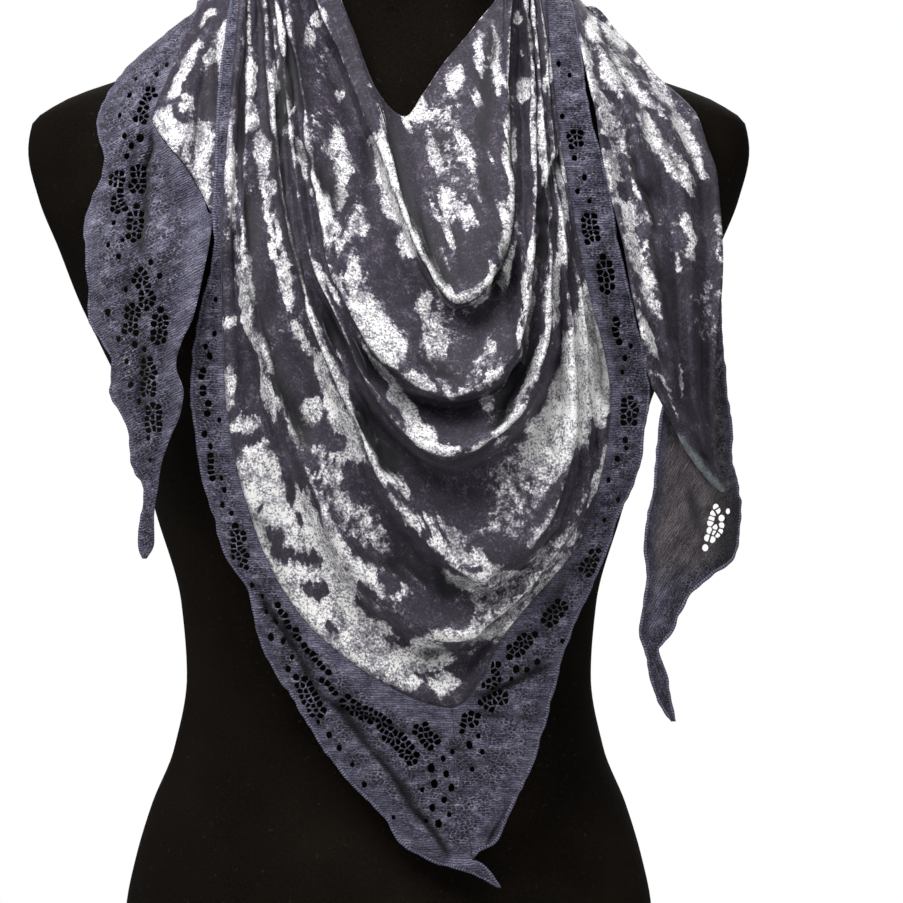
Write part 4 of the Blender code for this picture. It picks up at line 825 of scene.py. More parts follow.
def turned_edge(grid):
    """Extra rows that turn the upper edge of a grid back on itself, as a narrow folded hem."""
    edge = grid[0]
    out = unit(edge - grid[2])
    back = unit(np.cross(out, directions(edge)))
    if back[len(edge) // 2][1] < 0:
        back = -back
    rows = [edge + TURN * (math.sin(angle) * out + (1 - math.cos(angle)) * back)
            for angle in np.linspace(0, math.pi * 1.15, TURN_ROWS + 1)[1:]]
    return np.array(rows)[::-1]


def inside(points, outline):
    """Which points lie inside a closed outline."""
    x, y = points[:, 0][:, None], points[:, 1][:, None]
    ax, ay = outline[:, 0], outline[:, 1]
    bx, by = np.roll(ax, -1), np.roll(ay, -1)
    crossing = (ay > y) != (by > y)
    at = ax + (y - ay) * (bx - ax) / np.where(by == ay, 1e-9, by - ay)
    return (np.sum(crossing & (x < at), axis=1) % 2) == 1


def line_distance(points, line):
    """Distance from each point to the nearest place on an open line, and how far along that place is."""
    a, run = line[:-1], np.diff(line, axis=0)
    size = np.maximum(np.sum(run**2, axis=1), 1e-9)
    start = np.concatenate([[0], np.cumsum(np.sqrt(size))])[:-1]
    away, along = [], []
    for part in np.array_split(points, max(len(points) // 2000, 1)):
        t = np.clip(np.sum((part[:, None] - a) * run, axis=2) / size, 0, 1)
        gap = np.linalg.norm(part[:, None] - (a + run * t[..., None]), axis=2)
        nearest = np.argmin(gap, axis=1)
        pick = np.arange(len(part))
        away.append(gap[pick, nearest])
        along.append(start[nearest] + t[pick, nearest] * np.sqrt(size[nearest]))
    return np.concatenate(away), np.concatenate(along)


def cut_cloth(outline, holes, step):
    """Points and triangles of a flat cut piece. Each hole is its own small outline."""
    low, high = outline.min(axis=0), outline.max(axis=0)
    heights = np.arange(low[1] + step / 2, high[1], step * math.sqrt(3) / 2)
    rows = []
    for j, z in enumerate(heights):
        x = np.arange(low[0] + (j % 2) * step / 2, high[0], step)
        rows.append(np.column_stack([x, np.full_like(x, z)]))
    inner = np.vstack(rows)
    inner = inner[inside(inner, outline)]
    closed = np.vstack([outline, outline[:1]])
    inner = inner[line_distance(inner, closed)[0] > step * 0.42]
    if holes:
        corners = np.vstack(holes)
        fits = inside(corners, outline) & (line_distance(corners, closed)[0] > 0.7)
        ends = np.cumsum([len(h) for h in holes])
        holes = [h for h, end in zip(holes, ends) if np.all(fits[end - len(h):end])]
        centres = np.array([h.mean(axis=0) for h in holes])
        radii = np.array([np.max(np.linalg.norm(h - c, axis=1)) for h, c in zip(holes, centres)])
        gap = np.linalg.norm(inner[:, None] - centres, axis=2) - radii
        inner = inner[np.min(gap, axis=1) > 0.25]
    points, edges = [], []
    for ring in [outline] + holes:
        first = len(points)
        points += [Vector(p) for p in ring.tolist()]
        edges += [(first + i, first + (i + 1) % len(ring)) for i in range(len(ring))]
    points += [Vector(p) for p in inner.tolist()]
    flat, _, faces, _, _, _ = delaunay_2d_cdt(points, edges, [], 0, 1e-5)
    flat = np.array([tuple(p) for p in flat])
    faces = np.array(faces)
    middles = flat[faces].mean(axis=1)
    keep = inside(middles, outline)
    for hole, centre, radius in zip(holes, centres if holes else (), radii if holes else ()):
        near = np.nonzero(np.sum((middles - centre) ** 2, axis=1) < radius**2)[0]
        keep[near[inside(middles[near], hole)]] = False
    used, index = np.unique(faces[keep], return_inverse=True)
    return flat[used], index.reshape(-1, 3)


def facing(points, faces, outward):
    """Triangles with their corners in the order that makes them face outward."""
    corners = points[faces]
    normal = np.cross(corners[:, 1] - corners[:, 0], corners[:, 2] - corners[:, 0])
    wrong = np.sum(normal * outward(corners.mean(axis=1)), axis=1) < 0
    faces = faces.copy()
    faces[wrong] = faces[wrong][:, ::-1]
    return faces


def to_viewer(points):
    """Outward for a piece in front: towards -Y."""
    return np.tile(np.array([0.0, -1.0, 0.0]), (len(points), 1))


def from_neck(points):
    """Outward for a piece round the neck."""
    away = points * np.array([1.0, 1.0, 0.0])
    return away + np.array([0.0, 0.0, 30.0])


def hung_cloth(outline, holes, step, hang, outward):
    """A cut piece and how it hangs: its flat places, its points and its triangles."""
    flat, faces = cut_cloth(outline, holes, step)
    points = hang(flat)
    return flat, points, facing(points, faces, outward).tolist()


def make_trim(stretch, points, faces, gauze, uv, values=None):
    """One stretch of trim: front_left, end_right, wrap_inner and so on."""
    stands_for = ["lace_" + stretch.replace("end_", "tail_")]
    return make_piece(f"trim_{stretch}", points, faces, gauze, stands_for, TRIM_WALL, uv, values)


def tube(name, path, radius, material):
    """The overlocked edge as a thin round cord of thread along a line."""
    length, along = run_along(path), directions(path)
    side = unit(np.cross(along, np.array([0.02, 1.0, 0.05])))
    up = np.cross(side, along)
    size = radius * (1 + 0.22 * line_noise(length, 4.0, 7))
    size = size * np.clip(np.minimum(length, length[-1] - length) / CORD_TAPER + 0.35, 0.35, 1)
    turn = np.arange(CORD_SIDES) * math.tau / CORD_SIDES
    ring = np.cos(turn)[None, :, None] * side[:, None] + np.sin(turn)[None, :, None] * up[:, None]
    points = path[:, None] + ring * size[:, None, None]
    last = (len(path) - 1) * CORD_SIDES
    faces = grid_faces(len(path), CORD_SIDES, closed=True)
    faces += [tuple(range(CORD_SIDES)), tuple(reversed(range(last, last + CORD_SIDES)))]
    uv = np.stack(np.broadcast_arrays(length[:, None], turn[None, :] * radius), axis=-1)
    return make_piece(name, points.reshape(-1, 3), faces, material, uv=uv.reshape(-1, 2))


def wave_edge(line, size=TRIM_WAVE, length=TRIM_WAVE_LENGTH):
    """Gives a line the small uneven bumps of an overlocked edge, fading at its ends."""
    run, along = run_along(line), directions(line)
    across = np.column_stack([along[:, 1], -along[:, 0]])
    fade = np.sin(np.pi * np.clip(run / run[-1], 0, 1)) ** 0.3
    share, shorter = SECOND_WAVE
    wave = line_noise(run, length * 0.5, 33) + share * line_noise(run, length * 0.5 * shorter, 35)
    wave = wave + 0.5 * line_noise(run, 3.4, 31)
    return line + across * (size * wave * fade)[:, None]


def flutter(run, seed):
    """How the rim curls in and out of the cloth's face, unevenly along its length."""
    height, length = RIM_WAVE
    return height * (line_noise(run, length * 0.5, seed) + 0.6 * line_noise(run, length * 0.2, seed + 1))


def net_spots(nets):
    """Uneven middles of the cells in patches of net."""
    spots = []
    for k, (right, down, half_length, half_width, lean) in enumerate(nets):
        middle = np.array(front_place(right, down))
        turn = math.radians(lean)
        along = np.array([math.sin(turn), -math.cos(turn)])
        across = np.array([math.cos(turn), math.sin(turn)])
        row_pitch = CELL_PITCH * 0.87
        rows = int(half_width / row_pitch)
        for j in range(-rows, rows + 1):
            reach = half_length * math.sqrt(max(1 - (j / (rows + 0.8)) ** 2, 0.1))
            columns = int(reach / CELL_PITCH)
            for i in range(-columns, columns + 1):
                shift = (j % 2) * CELL_PITCH / 2
                spot = middle + along * (i * CELL_PITCH + shift) + across * j * row_pitch
                stray = [float(soft_noise(i * 3.7 + k, j * 5.3 + 9, 1.0, seed)) for seed in (1, 2)]
                spots.append(spot + np.array(stray) * CELL_PITCH * 0.4)
    kept = []
    for spot in spots:
        if all(math.dist(spot, other) > CELL_PITCH * 0.62 for other in kept):
            kept.append(spot)
    return np.array(kept)


def net_cells(spots):
    """The cell round each spot: the ground nearer to it than to any other, less half a thread."""
    cells = []
    turn = np.arange(9) * math.tau / 9
    for spot in spots:
        cell = spot + CELL_REACH * np.column_stack([np.cos(turn), np.sin(turn)])
        away = np.linalg.norm(spots - spot, axis=1)
        for j in np.argsort(away)[1:12]:
            if away[j] > 2 * CELL_REACH:
                break
            toward = (spots[j] - spot) / away[j]
            cell = clipped(cell, spot, toward, away[j] / 2 - BAR / 2)
        cells.append(cell)
    return cells


def clipped(cell, spot, toward, reach):
    """The part of a cell that lies less than a reach away from a spot in one direction."""
    over = (cell - spot) @ toward - reach
    kept = []
    for i in range(len(cell)):
        j = (i + 1) % len(cell)
        if over[i] <= 0:
            kept.append(cell[i])
        if over[i] * over[j] < 0:
            kept.append(cell[i] + (cell[j] - cell[i]) * over[i] / (over[i] - over[j]))
    thinned = [p for i, p in enumerate(kept) if math.dist(p, kept[i - 1]) > 0.12]
    return np.array(thinned if len(thinned) > 2 else kept)


def openwork(name):
    """The holes of one stretch of trim: its net cells, and the eyelets that stand clear of them."""
    spots = net_spots(NETS[name])
    holes = net_cells(spots)
    placed = []
    for right, down, radius in EYELETS[name]:
        spot = np.array(front_place(right, down))
        clear = np.min(np.linalg.norm(spots - spot, axis=1)) > radius + CELL_REACH + 0.3
        if clear and all(math.dist(spot, other) > radius + size + 0.5 for other, size in placed):
            placed.append((spot, radius))
            holes.append(eyelet(spot, radius))
    return holes


def eyelet(spot, radius):
    """An eyelet, a little uneven and taller than wide."""
    turn = 0.3 + np.arange(8) * math.tau / 8
    uneven = 1 + 0.14 * soft_noise(turn * 2, turn * 0 + spot[0], 1.0, 4)
    return spot + radius * uneven[:, None] * np.column_stack([0.88 * np.cos(turn), 1.1 * np.sin(turn)])


def build_form(material):
    """The dress form: a smooth foam body in black jersey, its edges at the neck and base a bit round."""
    low, high = FORM[0][0], FORM[-1][0]
    levels = np.linspace(low, high, FORM_RINGS)
    turn = np.arange(FORM_SIDES) * math.tau / FORM_SIDES
    cos, sin = np.cos(turn), np.sin(turn)
    rings = []
    for z in levels:
        power = 2 / FORM_CURVES["square"](z)
        depth = np.where(sin < 0, FORM_CURVES["front"](z), FORM_CURVES["back"](z))
        x = FORM_CURVES["half_width"](z) * np.sign(cos) * np.abs(cos) ** power
        y = depth * np.sign(sin) * np.abs(sin) ** power
        rings.append(np.column_stack([x, y, np.full_like(x, z)]))
    rounded = []
    for edge, up in ((0, 1), (-1, -1)):
        steps = []
        for angle in np.linspace(0, math.pi / 2, 5):
            share = 1 - FORM_ROUND * (1 - math.sin(angle)) / 60
            ring = rings[edge] * np.array([share, share, 1.0])
            ring[:, 2] = rings[edge][0, 2] + up * FORM_ROUND * (1 - math.cos(angle))
            steps.append(ring)
        rounded.append(steps)
    base_rings, top_rings = rounded
    body = [r for r in rings if low + FORM_ROUND + 1 < r[0, 2] < high - FORM_ROUND - 1]
    rings = base_rings + body + top_rings[::-1]
    last = (len(rings) - 1) * FORM_SIDES
    faces = grid_faces(len(rings), FORM_SIDES, closed=True)
    faces += [tuple(reversed(range(FORM_SIDES))), tuple(range(last, last + FORM_SIDES))]
    return make_piece("black_dress_form", np.vstack(rings), faces, material, ["dress_form"])


def fold_edges(steps, across, along):
    """The rolled edge of each fold and the narrow hollow under it: height, and a painted highlight on the
    edge with painted shade in the hollow.
    """
    height = np.zeros_like(across)
    shine = np.zeros_like(across)
    for k, strength in zip((1, 3, 5, 7, 9), FOLD_EDGES):
        row = int(np.argmin(np.abs(steps - k)))
        below = across - across[row]
        wander = 1.4 * line_noise(along, 34.0, 60 + k)
        below = below + wander + 0.5 * soft_noise(along, below, 8.0, 66 + k)
        uneven = strength * (0.75 + 0.4 * line_noise(along, 52.0, 70 + k))
        height += uneven * (1.5 * hump(below, 2.4) - 2.8 * hump(below - HOLLOW_BELOW, 2.6))
        shine += uneven * (1.25 * hump(below, 1.3) - 1.5 * hump(below - HOLLOW_BELOW, 3.0))
    return height, shine


def build_cowl(material):
    """The middle of the scarf over the chest. Also gives its two ends, for the wraps to carry on from:
    each row's share of the width, pile, place along and across the cloth, X and Z."""
    flat, steps = cowl_grid()
    points = front_point(flat[..., 0], flat[..., 1], flat[..., 2])
    along, across = surface_lengths(points)
    normal = grid_normals(points, (0, -1, 0))
    x, z = points[..., 0], points[..., 2]
    pressed = creases(COWL_CREASES, x, z) * CREASE_DEPTH
    edge, shine = fold_edges(steps, across, along)
    crumple = 0.8 * rough_noise(along, across, 24.0, 3, 41)
    crumple = crumple + 0.3 * rough_noise(along * 0.6, across, 9.0, 2, 43)
    near_edge = ease(0, 3, steps[-1] - steps)[:, None] * ease(0, 1.2, steps)[:, None]
    points = points + normal * ((pressed + crumple) * (0.25 + 0.75 * near_edge) + edge)[..., None]
    from_hem = across[-1] - across
    puff = 1.4 * ease(0, 3.0, from_hem) * (1 - ease(6, 16, from_hem))
    points = points + normal * puff[..., None]
    points = push_clear(points.reshape(-1, 3), CLEAR + 0.2).reshape(points.shape)
    # The pile is painted lighter along the ridges and darker in the hollows between them.
    plain = -0.58 - 0.18 * np.cos(math.pi * steps)[:, None]
    plain = plain + 0.45 * rough_noise(along, across, 30.0, 2, 51)
    nap = nap_of(COWL_NAP, points[..., 0], points[..., 2], plain)
    # Painted light on the pile: a highlight on each fold's rolled edge, shade under it and highlights
    # beside the troughs. Then painted shade in the troughs and under the rolled edges.
    nap = nap * (1 - 0.5 * np.clip(np.abs(shine), 0, 1)) + 0.9 * shine + 1.5 * lip_highlights(COWL_CREASES, x, z)
    deep = np.clip(-pressed / 2.2 - 0.3, 0, 1) + np.clip(-shine - 0.5, 0, 1) * 1.1
    collar = turned_edge(points)
    points = np.concatenate([collar, points])
    # The turned edge of the neckline gets a painted highlight: its pile is drawn brighter than the row it
    # turns from.
    nap = np.concatenate([np.repeat(nap[:1], len(collar), axis=0) * 0.5 + 0.4, nap])
    deep = np.concatenate([np.repeat(deep[:1], len(collar), axis=0), deep])
    rows, columns = points.shape[:2]
    along, across = surface_lengths(points)
    uv = np.stack([along, across], axis=-1).reshape(-1, 2)
    piece = make_piece(
        "velvet_cowl", points.reshape(-1, 3), grid_faces(rows, columns), material,
        ["velvet_front"], VELVET_WALL, uv, {"nap": nap.ravel(), "deep": np.clip(deep, 0, 1).ravel()},
    )
    first = len(collar)
    ends = []
    for end in (0, -1):
        drop = across[first:, end] - across[first, end]
        ends.append(np.column_stack([
            drop / drop[-1], nap[first:, end], along[first:, end], across[first:, end],
            points[first:, end, 0], points[first:, end, 2],
        ]))
    return piece, ends


def front_seam():
    """The line along which the velvet of the cowl and the trim are sewn, and its corner."""
    hem = cowl_rows()[-1][:, :2]
    middle, half = len(hem) // 2, 200
    hem = np.vstack([even_points(hem[: middle + 1], half)[:-1], even_points(hem[middle:], half)])
    along = directions(hem)
    return hem + np.column_stack([along[:, 1], -along[:, 0]]) * SEAM, half - 1


def turned(flat, lean):
    """Flat coordinates turned so that the ribs of the gauze lean by this many degrees."""
    cos, sin = math.cos(math.radians(lean)), math.sin(math.radians(lean))
    x, z = flat.T
    return np.column_stack([x * cos + z * sin, z * cos - x * sin])


def front_rim(side):
    """The overlocked edge of one front trim, from the shoulder down to the scarf's point."""
    places = np.array([front_place(right, down) for right, down in FRONT_RIMS[side]])
    places[0, 1] = float(CREST_HEIGHT(abs(places[0, 0])))
    line = wave_edge(smooth_line(places, 1.2))
    if side == "left":
        line = np.vstack([line, [front_place(right, down) for right, down in POINT_NOTCH]])
    return even_points(line, 420)


def build_front_trims(gauze, thread):
    """The two strips of trim below the cowl, mitred at the scarf's point, with their overlocked edges."""
    seam, middle = front_seam()
    mitre = even_points(np.array([seam[middle], front_place(*MITRE_END)]), 40)
    shift = np.array([0.06, 0.0])
    made = []
    halves = (("left", seam[: middle + 1], -shift), ("right", seam[middle:][::-1], shift))
    for side, inner, move in halves:
        rim = front_rim(side)
        outline = np.vstack([inner[:-1], mitre + move, rim[::-1]])

        def hang(flat, inner=inner, rim=rim):
            x, z = flat.T
            from_seam, _ = line_distance(flat, inner)
            from_rim, run = line_distance(flat, rim)
            below = 1 - ease(*STRIP_END, z)
            ripple = TRIM_RIPPLE * np.sin(x * TRIM_RIPPLE_TURN[0] + z * TRIM_RIPPLE_TURN[1]) * below
            pressed = CREASE_DEPTH * creases(TRIM_CREASES, x, z)
            crumple = 0.9 * rough_noise(x, z * 0.8, 12.0, 3, 61)
            lift = trim_lift(x, z) + (ripple + pressed + crumple) * ease(0, 7, from_seam)
            lift = lift + flutter(run, 3) * (1 - ease(0, RIM_REACH, from_rim)) * ease(4, 14, from_seam)
            return push_clear(front_point(x, z, lift), CLEAR)

        flat, points, faces = hung_cloth(outline, openwork(f"front_{side}"), TRIM_MESH, hang, to_viewer)
        values = {"lace": band(flat, inner, rim), "deep": trough_shade(TRIM_CREASES, flat)}
        piece = make_trim(f"front_{side}", points, faces, gauze, flat, values)
        made.append((piece, tube(f"overlock_front_{side}", hang(rim), RIM, thread)))
    return made


def tail_edges(table):
    """The inner and the outer edge of a tail, from its top down."""
    z = column(table, TAIL_COLUMNS, "height")
    inner = np.column_stack([column(table, TAIL_COLUMNS, "inner"), z])
    outer = np.column_stack([column(table, TAIL_COLUMNS, "outer"), z])
    return inner, outer


def tail_lift(name, inner, outer):
    """How one tail hangs: its lift, and folds that run down it and fan out with its width."""
    row = named_rows(TAIL_HANG, TAIL_HANG_COLUMNS)[name]

    def lift(x, z):
        x_in = np.interp(z, inner[::-1, 1], inner[::-1, 0])
        x_out = np.interp(z, outer[::-1, 1], outer[::-1, 0])
        width = np.abs(x_out - x_in)
        share = (x - x_in) / np.where(width < 1, 1, x_out - x_in)
        height = row["lift_low"] + (row["lift_high"] - row["lift_low"]) * ease(*TAIL_LIFT_HEIGHTS, z)
        fold = row["fold_depth"] * np.cos(math.tau * row["folds"] * share)
        return height + fold * np.clip(width / TAIL_FULL_FOLD, 0, 1)

    return lift


def smooth_line(line, spacing=1.8):
    """A table's edge as a smooth line with even points."""
    length = run_along(line)
    dense = smooth_curve(length, line)(np.linspace(0, length[-1], 600))
    return even_points(dense, max(int(length[-1] / spacing), 3))


def trough_shade(table, flat):
    """How much painted shade the troughs of a table put on the cloth."""
    return np.clip(-creases(table, flat[:, 0], flat[:, 1]) / 1.6 - 0.25, 0, 1)


def band(flat, seam, rim, last=0.88):
    """Where the openwork of the trim lies between its seam and its rim."""
    first = 0.2
    from_seam, _ = line_distance(flat, seam)
    from_rim, _ = line_distance(flat, rim)
    share = from_seam / np.maximum(from_seam + from_rim, 1e-6)
    return ease(first - 0.08, first + 0.05, share) * (1 - ease(last - 0.05, last + 0.08, share))


def hanging_velvet(side, outline, lift, crease_table, nap_table, plain, material, reverse=None):
    """The velvet's end over one shoulder."""
    def hang(flat):
        x, z = flat.T
        pressed = CREASE_DEPTH * creases(crease_table, x, z) + 0.6 * rough_noise(x, z * 0.6, 11.0, 3, 71)
        return push_clear(front_point(x, z, lift(x, z) + pressed), CLEAR + 0.1)

    flat, points, faces = hung_cloth(outline, [], VELVET_MESH, hang, to_viewer)
    shade = plain + 0.4 * rough_noise(flat[:, 1], flat[:, 0], 24.0, 2, 81)
    # Painted highlights beside the troughs lighten the pile, and painted shade darkens the troughs.
    nap = nap_of(nap_table, points[:, 0], points[:, 2], shade) + 1.1 * lip_highlights(crease_table, *flat.T)
    values = {"nap": nap, "deep": trough_shade(crease_table, flat)}
    if reverse is not None:
        values["reverse"] = reverse(flat)
    uv = np.column_stack([-flat[:, 1], flat[:, 0]])
    return make_piece(f"velvet_end_{side}", points, faces, material, [f"velvet_tail_{side}"],
                      VELVET_WALL, uv, values)


def build_left_tail(velvet, gauze, thread):
    """The tail over the left shoulder: the velvet's end, and the trim that hangs from it in one sheet."""
    velvet_in, velvet_out = tail_edges(LEFT_VELVET)
    lace_in, lace_out = tail_edges(LEFT_LACE)
    top = np.array([(x, float(CREST_HEIGHT(-x))) for x in LEFT_CREST])
    free = lace_in[lace_in[:, 1] < velvet_in[-1, 1]]
    lift = tail_lift("left", np.vstack([velvet_in[:-1], free]), lace_out)
    outline = np.vstack([smooth_line(top), smooth_line(np.vstack([top[-1:], velvet_out]))[1:],
                         smooth_line(velvet_in[::-1])[1:]])
    velvet_piece = hanging_velvet("left", outline, lift, LEFT_TAIL_CREASES, LEFT_TAIL_NAP, -0.3, velvet)
    gap = np.array([-SEAM * 0.85, -SEAM * 0.6])
    seam = smooth_line(np.vstack([top[-1:], velvet_out, velvet_in[-1:]])) + gap
    corner = np.array([(LEFT_LACE_CREST, float(CREST_HEIGHT(-LEFT_LACE_CREST)))])
    rim = wave_edge(smooth_line(np.vstack([corner, lace_out]), 1.2), 0.7, 21.0)
    inner = smooth_line(free)
    outline = np.vstack([rim, inner[::-1], seam[::-1]])

    def hang(flat):
        x, z = flat.T
        from_rim, run = line_distance(flat, rim)
        from_seam, _ = line_distance(flat, seam)
        pressed = CREASE_DEPTH * creases(LEFT_TAIL_CREASES, x, z)
        pressed = pressed + rough_noise(x, z * 0.7, 13.0, 3, 91)
        pressed = pressed + flutter(run, 9) * (1 - ease(0, RIM_REACH, from_rim))
        return push_clear(front_point(x, z, lift(x, z) + pressed * ease(0, 6, from_seam)), CLEAR)

    flat, points, faces = hung_cloth(outline, openwork("end_left"), TRIM_MESH, hang, to_viewer)
    lace = band(flat, np.vstack([seam, inner]), rim, 0.9)
    values = {"lace": lace, "deep": trough_shade(LEFT_TAIL_CREASES, flat)}
    piece = make_trim("end_left", points, faces, gauze, turned(flat, LEFT_RIBS), values)
    return velvet_piece, piece, tube("overlock_end_left", hang(rim), RIM, thread)


def build_right_tail(velvet, gauze, thread):
    """The tail over the right shoulder. Its end is folded back, so the trim's reverse shows behind it."""
    velvet_in, velvet_out = tail_edges(RIGHT_VELVET)
    lift = tail_lift("right_velvet", velvet_in, velvet_out)
    top = np.array([(x, float(CREST_HEIGHT(x))) for x in RIGHT_CREST])
    inner, outer = smooth_line(velvet_in), smooth_line(np.vstack([top[-1:], velvet_out]))
    outline = np.vstack([smooth_line(top)[:-1], outer, inner[::-1]])
    fold = inner[inner[:, 1] < UNDERSIDE_TOP]

    def reverse(flat):
        away, _ = line_distance(flat, fold)
        return (1 - ease(UNDERSIDE - 1.2, UNDERSIDE, away)) * (flat[:, 1] < UNDERSIDE_BELOW)

    def rolled(x, z):
        away, _ = line_distance(np.column_stack([x, z]), fold)
        roll = np.sqrt(np.clip(1 - (np.clip(away, 0, ROLL) / ROLL - 1) ** 2, 0, 1))
        return lift(x, z) + 3.2 * (roll - 1) * (away < ROLL) + 2.4 * hump(away - ROLL, 6)

    velvet_piece = hanging_velvet(
        "right", outline, rolled, RIGHT_TAIL_CREASES, RIGHT_TAIL_NAP, -0.35, velvet, reverse
    )
    lace_in, lace_out = tail_edges(RIGHT_LACE)
    lift_lace = tail_lift("right_lace", lace_in, lace_out)
    rim_out = wave_edge(smooth_line(lace_out, 1.2), 0.5, 17.0)
    rim_in = wave_edge(smooth_line(lace_in, 1.2), 0.5, 23.0)
    outline = np.vstack([rim_out, rim_in[::-1]])

    def hang(flat):
        x, z = flat.T
        from_out, run = line_distance(flat, rim_out)
        from_in, run_in = line_distance(flat, rim_in)
        low = 1 - ease(330, 372, z)
        pressed = creases(REVERSE_CREASES, x, z) + 0.5 * rough_noise(x, z * 0.7, 14.0, 3, 101)
        curl = flutter(run, 13) * (1 - ease(0, RIM_REACH, from_out))
        curl = curl + flutter(run_in, 15) * (1 - ease(0, 8, from_in))
        return push_clear(front_point(x, z, lift_lace(x, z) + (pressed + curl) * low), CLEAR)

    flat, points, faces = hung_cloth(outline, openwork("end_right"), TRIM_MESH, hang, to_viewer)
    x, z = flat.T
    away, _ = line_distance(flat, rim_out)
    from_in, _ = line_distance(flat, rim_in)
    border = np.minimum(away, from_in)
    # The deep value: painted shade in the reverse's troughs, with dark veins near its top, a dark border
    # along its rims below the top and a dark strip at its right side lower down.
    vein = 1 - np.clip(np.abs(rough_noise(x, z * 0.5, 4.0, 3, 141)) / 0.3, 0, 1)
    shade = trough_shade(REVERSE_CREASES, flat) + vein * ease(330, 358, z)
    shade = shade + 0.55 * (1 - ease(2.5, 6.5, border)) * (1 - ease(372, 392, z))
    shade = shade + 0.7 * ease(170, 176, x) * (1 - ease(300, 335, z))
    values = {
        "reverse": ease(2.5, 6.0, border) * (1 - ease(378, 398, z)) * ease(262, 290, z),
        "deep": np.clip(shade, 0, 1),
        "lace": ease(0.5, 2.5, border) * (1 - ease(6, 10, away)),
    }
    piece = make_trim("end_right", points, faces, gauze, turned(flat, RIGHT_RIBS), values)
    cords = [tube(f"overlock_end_right_{edge}", hang(rim), RIM, thread)
             for edge, rim in (("outer", rim_out), ("inner", rim_in))]
    return velvet_piece, piece, *cords


def wrap_points(table, bearing, beyond, share, pleat):
    """Points of a stretch behind the neck. Share runs over its velvet, beyond is past its lower edge."""
    place = column(table, WRAP_COLUMNS, "bearing")
    curves = [smooth_curve(place, column(table, WRAP_COLUMNS, name)) for name in WRAP_COLUMNS[1:]]
    reach_in, height_in, reach_out, height_out = (curve(bearing) for curve in curves)
    run = np.stack([reach_out - reach_in, height_out - height_in], axis=-1)
    width = np.linalg.norm(run, axis=-1)
    side = np.stack([-run[..., 1], run[..., 0]], axis=-1) / width[..., None]
    side = np.where(side[..., :1] < 0, -side, side)
    spread = share + beyond / width
    flat = np.stack([reach_in, height_in], axis=-1) + run * spread[..., None] + side * pleat[..., None]
    angle = np.radians(bearing)
    points = np.stack([flat[..., 0] * np.cos(angle), flat[..., 0] * np.sin(angle), flat[..., 1]], axis=-1)
    return points, width


def wrap_bearing(run):
    """The bearing of a place along a wrap, counted from the left shoulder."""
    return 180 - WRAP_MARGIN - run / WRAP_ARC


def wrap_velvet(name, table, cowl_end, velvet):
    """The velvet of one stretch behind the neck. Where the cowl ends, it starts on the same line, with
    the same folds."""
    around_steps, across_steps = WRAP_GRID
    bearing, share = np.meshgrid(np.linspace(180 - WRAP_MARGIN, WRAP_MARGIN, around_steps),
                                 np.linspace(0, 1, across_steps), indexing="ij")
    cowl_share, cowl_nap, cowl_along, cowl_across, cowl_x, cowl_z = cowl_end.T
    middle = np.sin(np.radians(bearing))
    arc = (180 - bearing) * WRAP_ARC
    wander = 0.05 * soft_noise(arc, share * 0, 60.0, 111)
    pleat = WRAP_PLEAT_DEPTH * middle * np.sin(math.tau * WRAP_PLEATS * (share + wander * middle))
    pleat += 0.5 * middle * rough_noise(arc * 0.5, share * 45, 8.0, 3, 113)
    pleat *= 1 - ease(0.86, 1.0, share)
    points, width = wrap_points(table, bearing, 0 * share, share, pleat)
    points = push_clear(points.reshape(-1, 3)).reshape(points.shape)
    _, around = surface_lengths(points)
    if name == "outer":
        around = around[-1:] - around
    first = 0 if name == "inner" else -1
    shift = np.stack([np.interp(share[0], cowl_share, cowl_x) - points[first, :, 0], 0 * share[0],
                      np.interp(share[0], cowl_share, cowl_z) - points[first, :, 2]], axis=-1)
    points = points + shift * (1 - ease(0, FOLDS_CARRY_ON, around))[..., None]
    # The pile is painted brighter where the pleats stand out and darker in their hollows.
    nap = -0.35 + 0.3 * np.sin(math.tau * WRAP_PLEATS * share)
    nap = nap + 0.75 * rough_noise(arc * 0.6, share * 45, 15.0, 3, 121)
    # Next to the tail the pile shines as it does on the shoulder, and next to the cowl as it does there.
    near = hump(around.max() - around, CARRY_ON)
    nap += (SHOULDER_NAP[name] + 0.3 * nap - nap) * near
    near = hump(around, CARRY_ON)
    nap = nap * (1 - near) + np.interp(share, cowl_share, cowl_nap) * near
    along = np.interp(share, cowl_share, cowl_along) + (-around if name == "inner" else around)
    across = np.interp(share, cowl_share, cowl_across) * width / width[first, 0]
    faces = facing(points.reshape(-1, 3), np.array(grid_faces(*points.shape[:2])), from_neck)
    uv = np.stack([along, across], axis=-1).reshape(-1, 2)
    return make_piece(f"velvet_wrap_over_{name}", points.reshape(-1, 3), faces.tolist(), velvet,
                      [f"velvet_wrap_{name}"], VELVET_WALL, uv, {"nap": nap.ravel()})


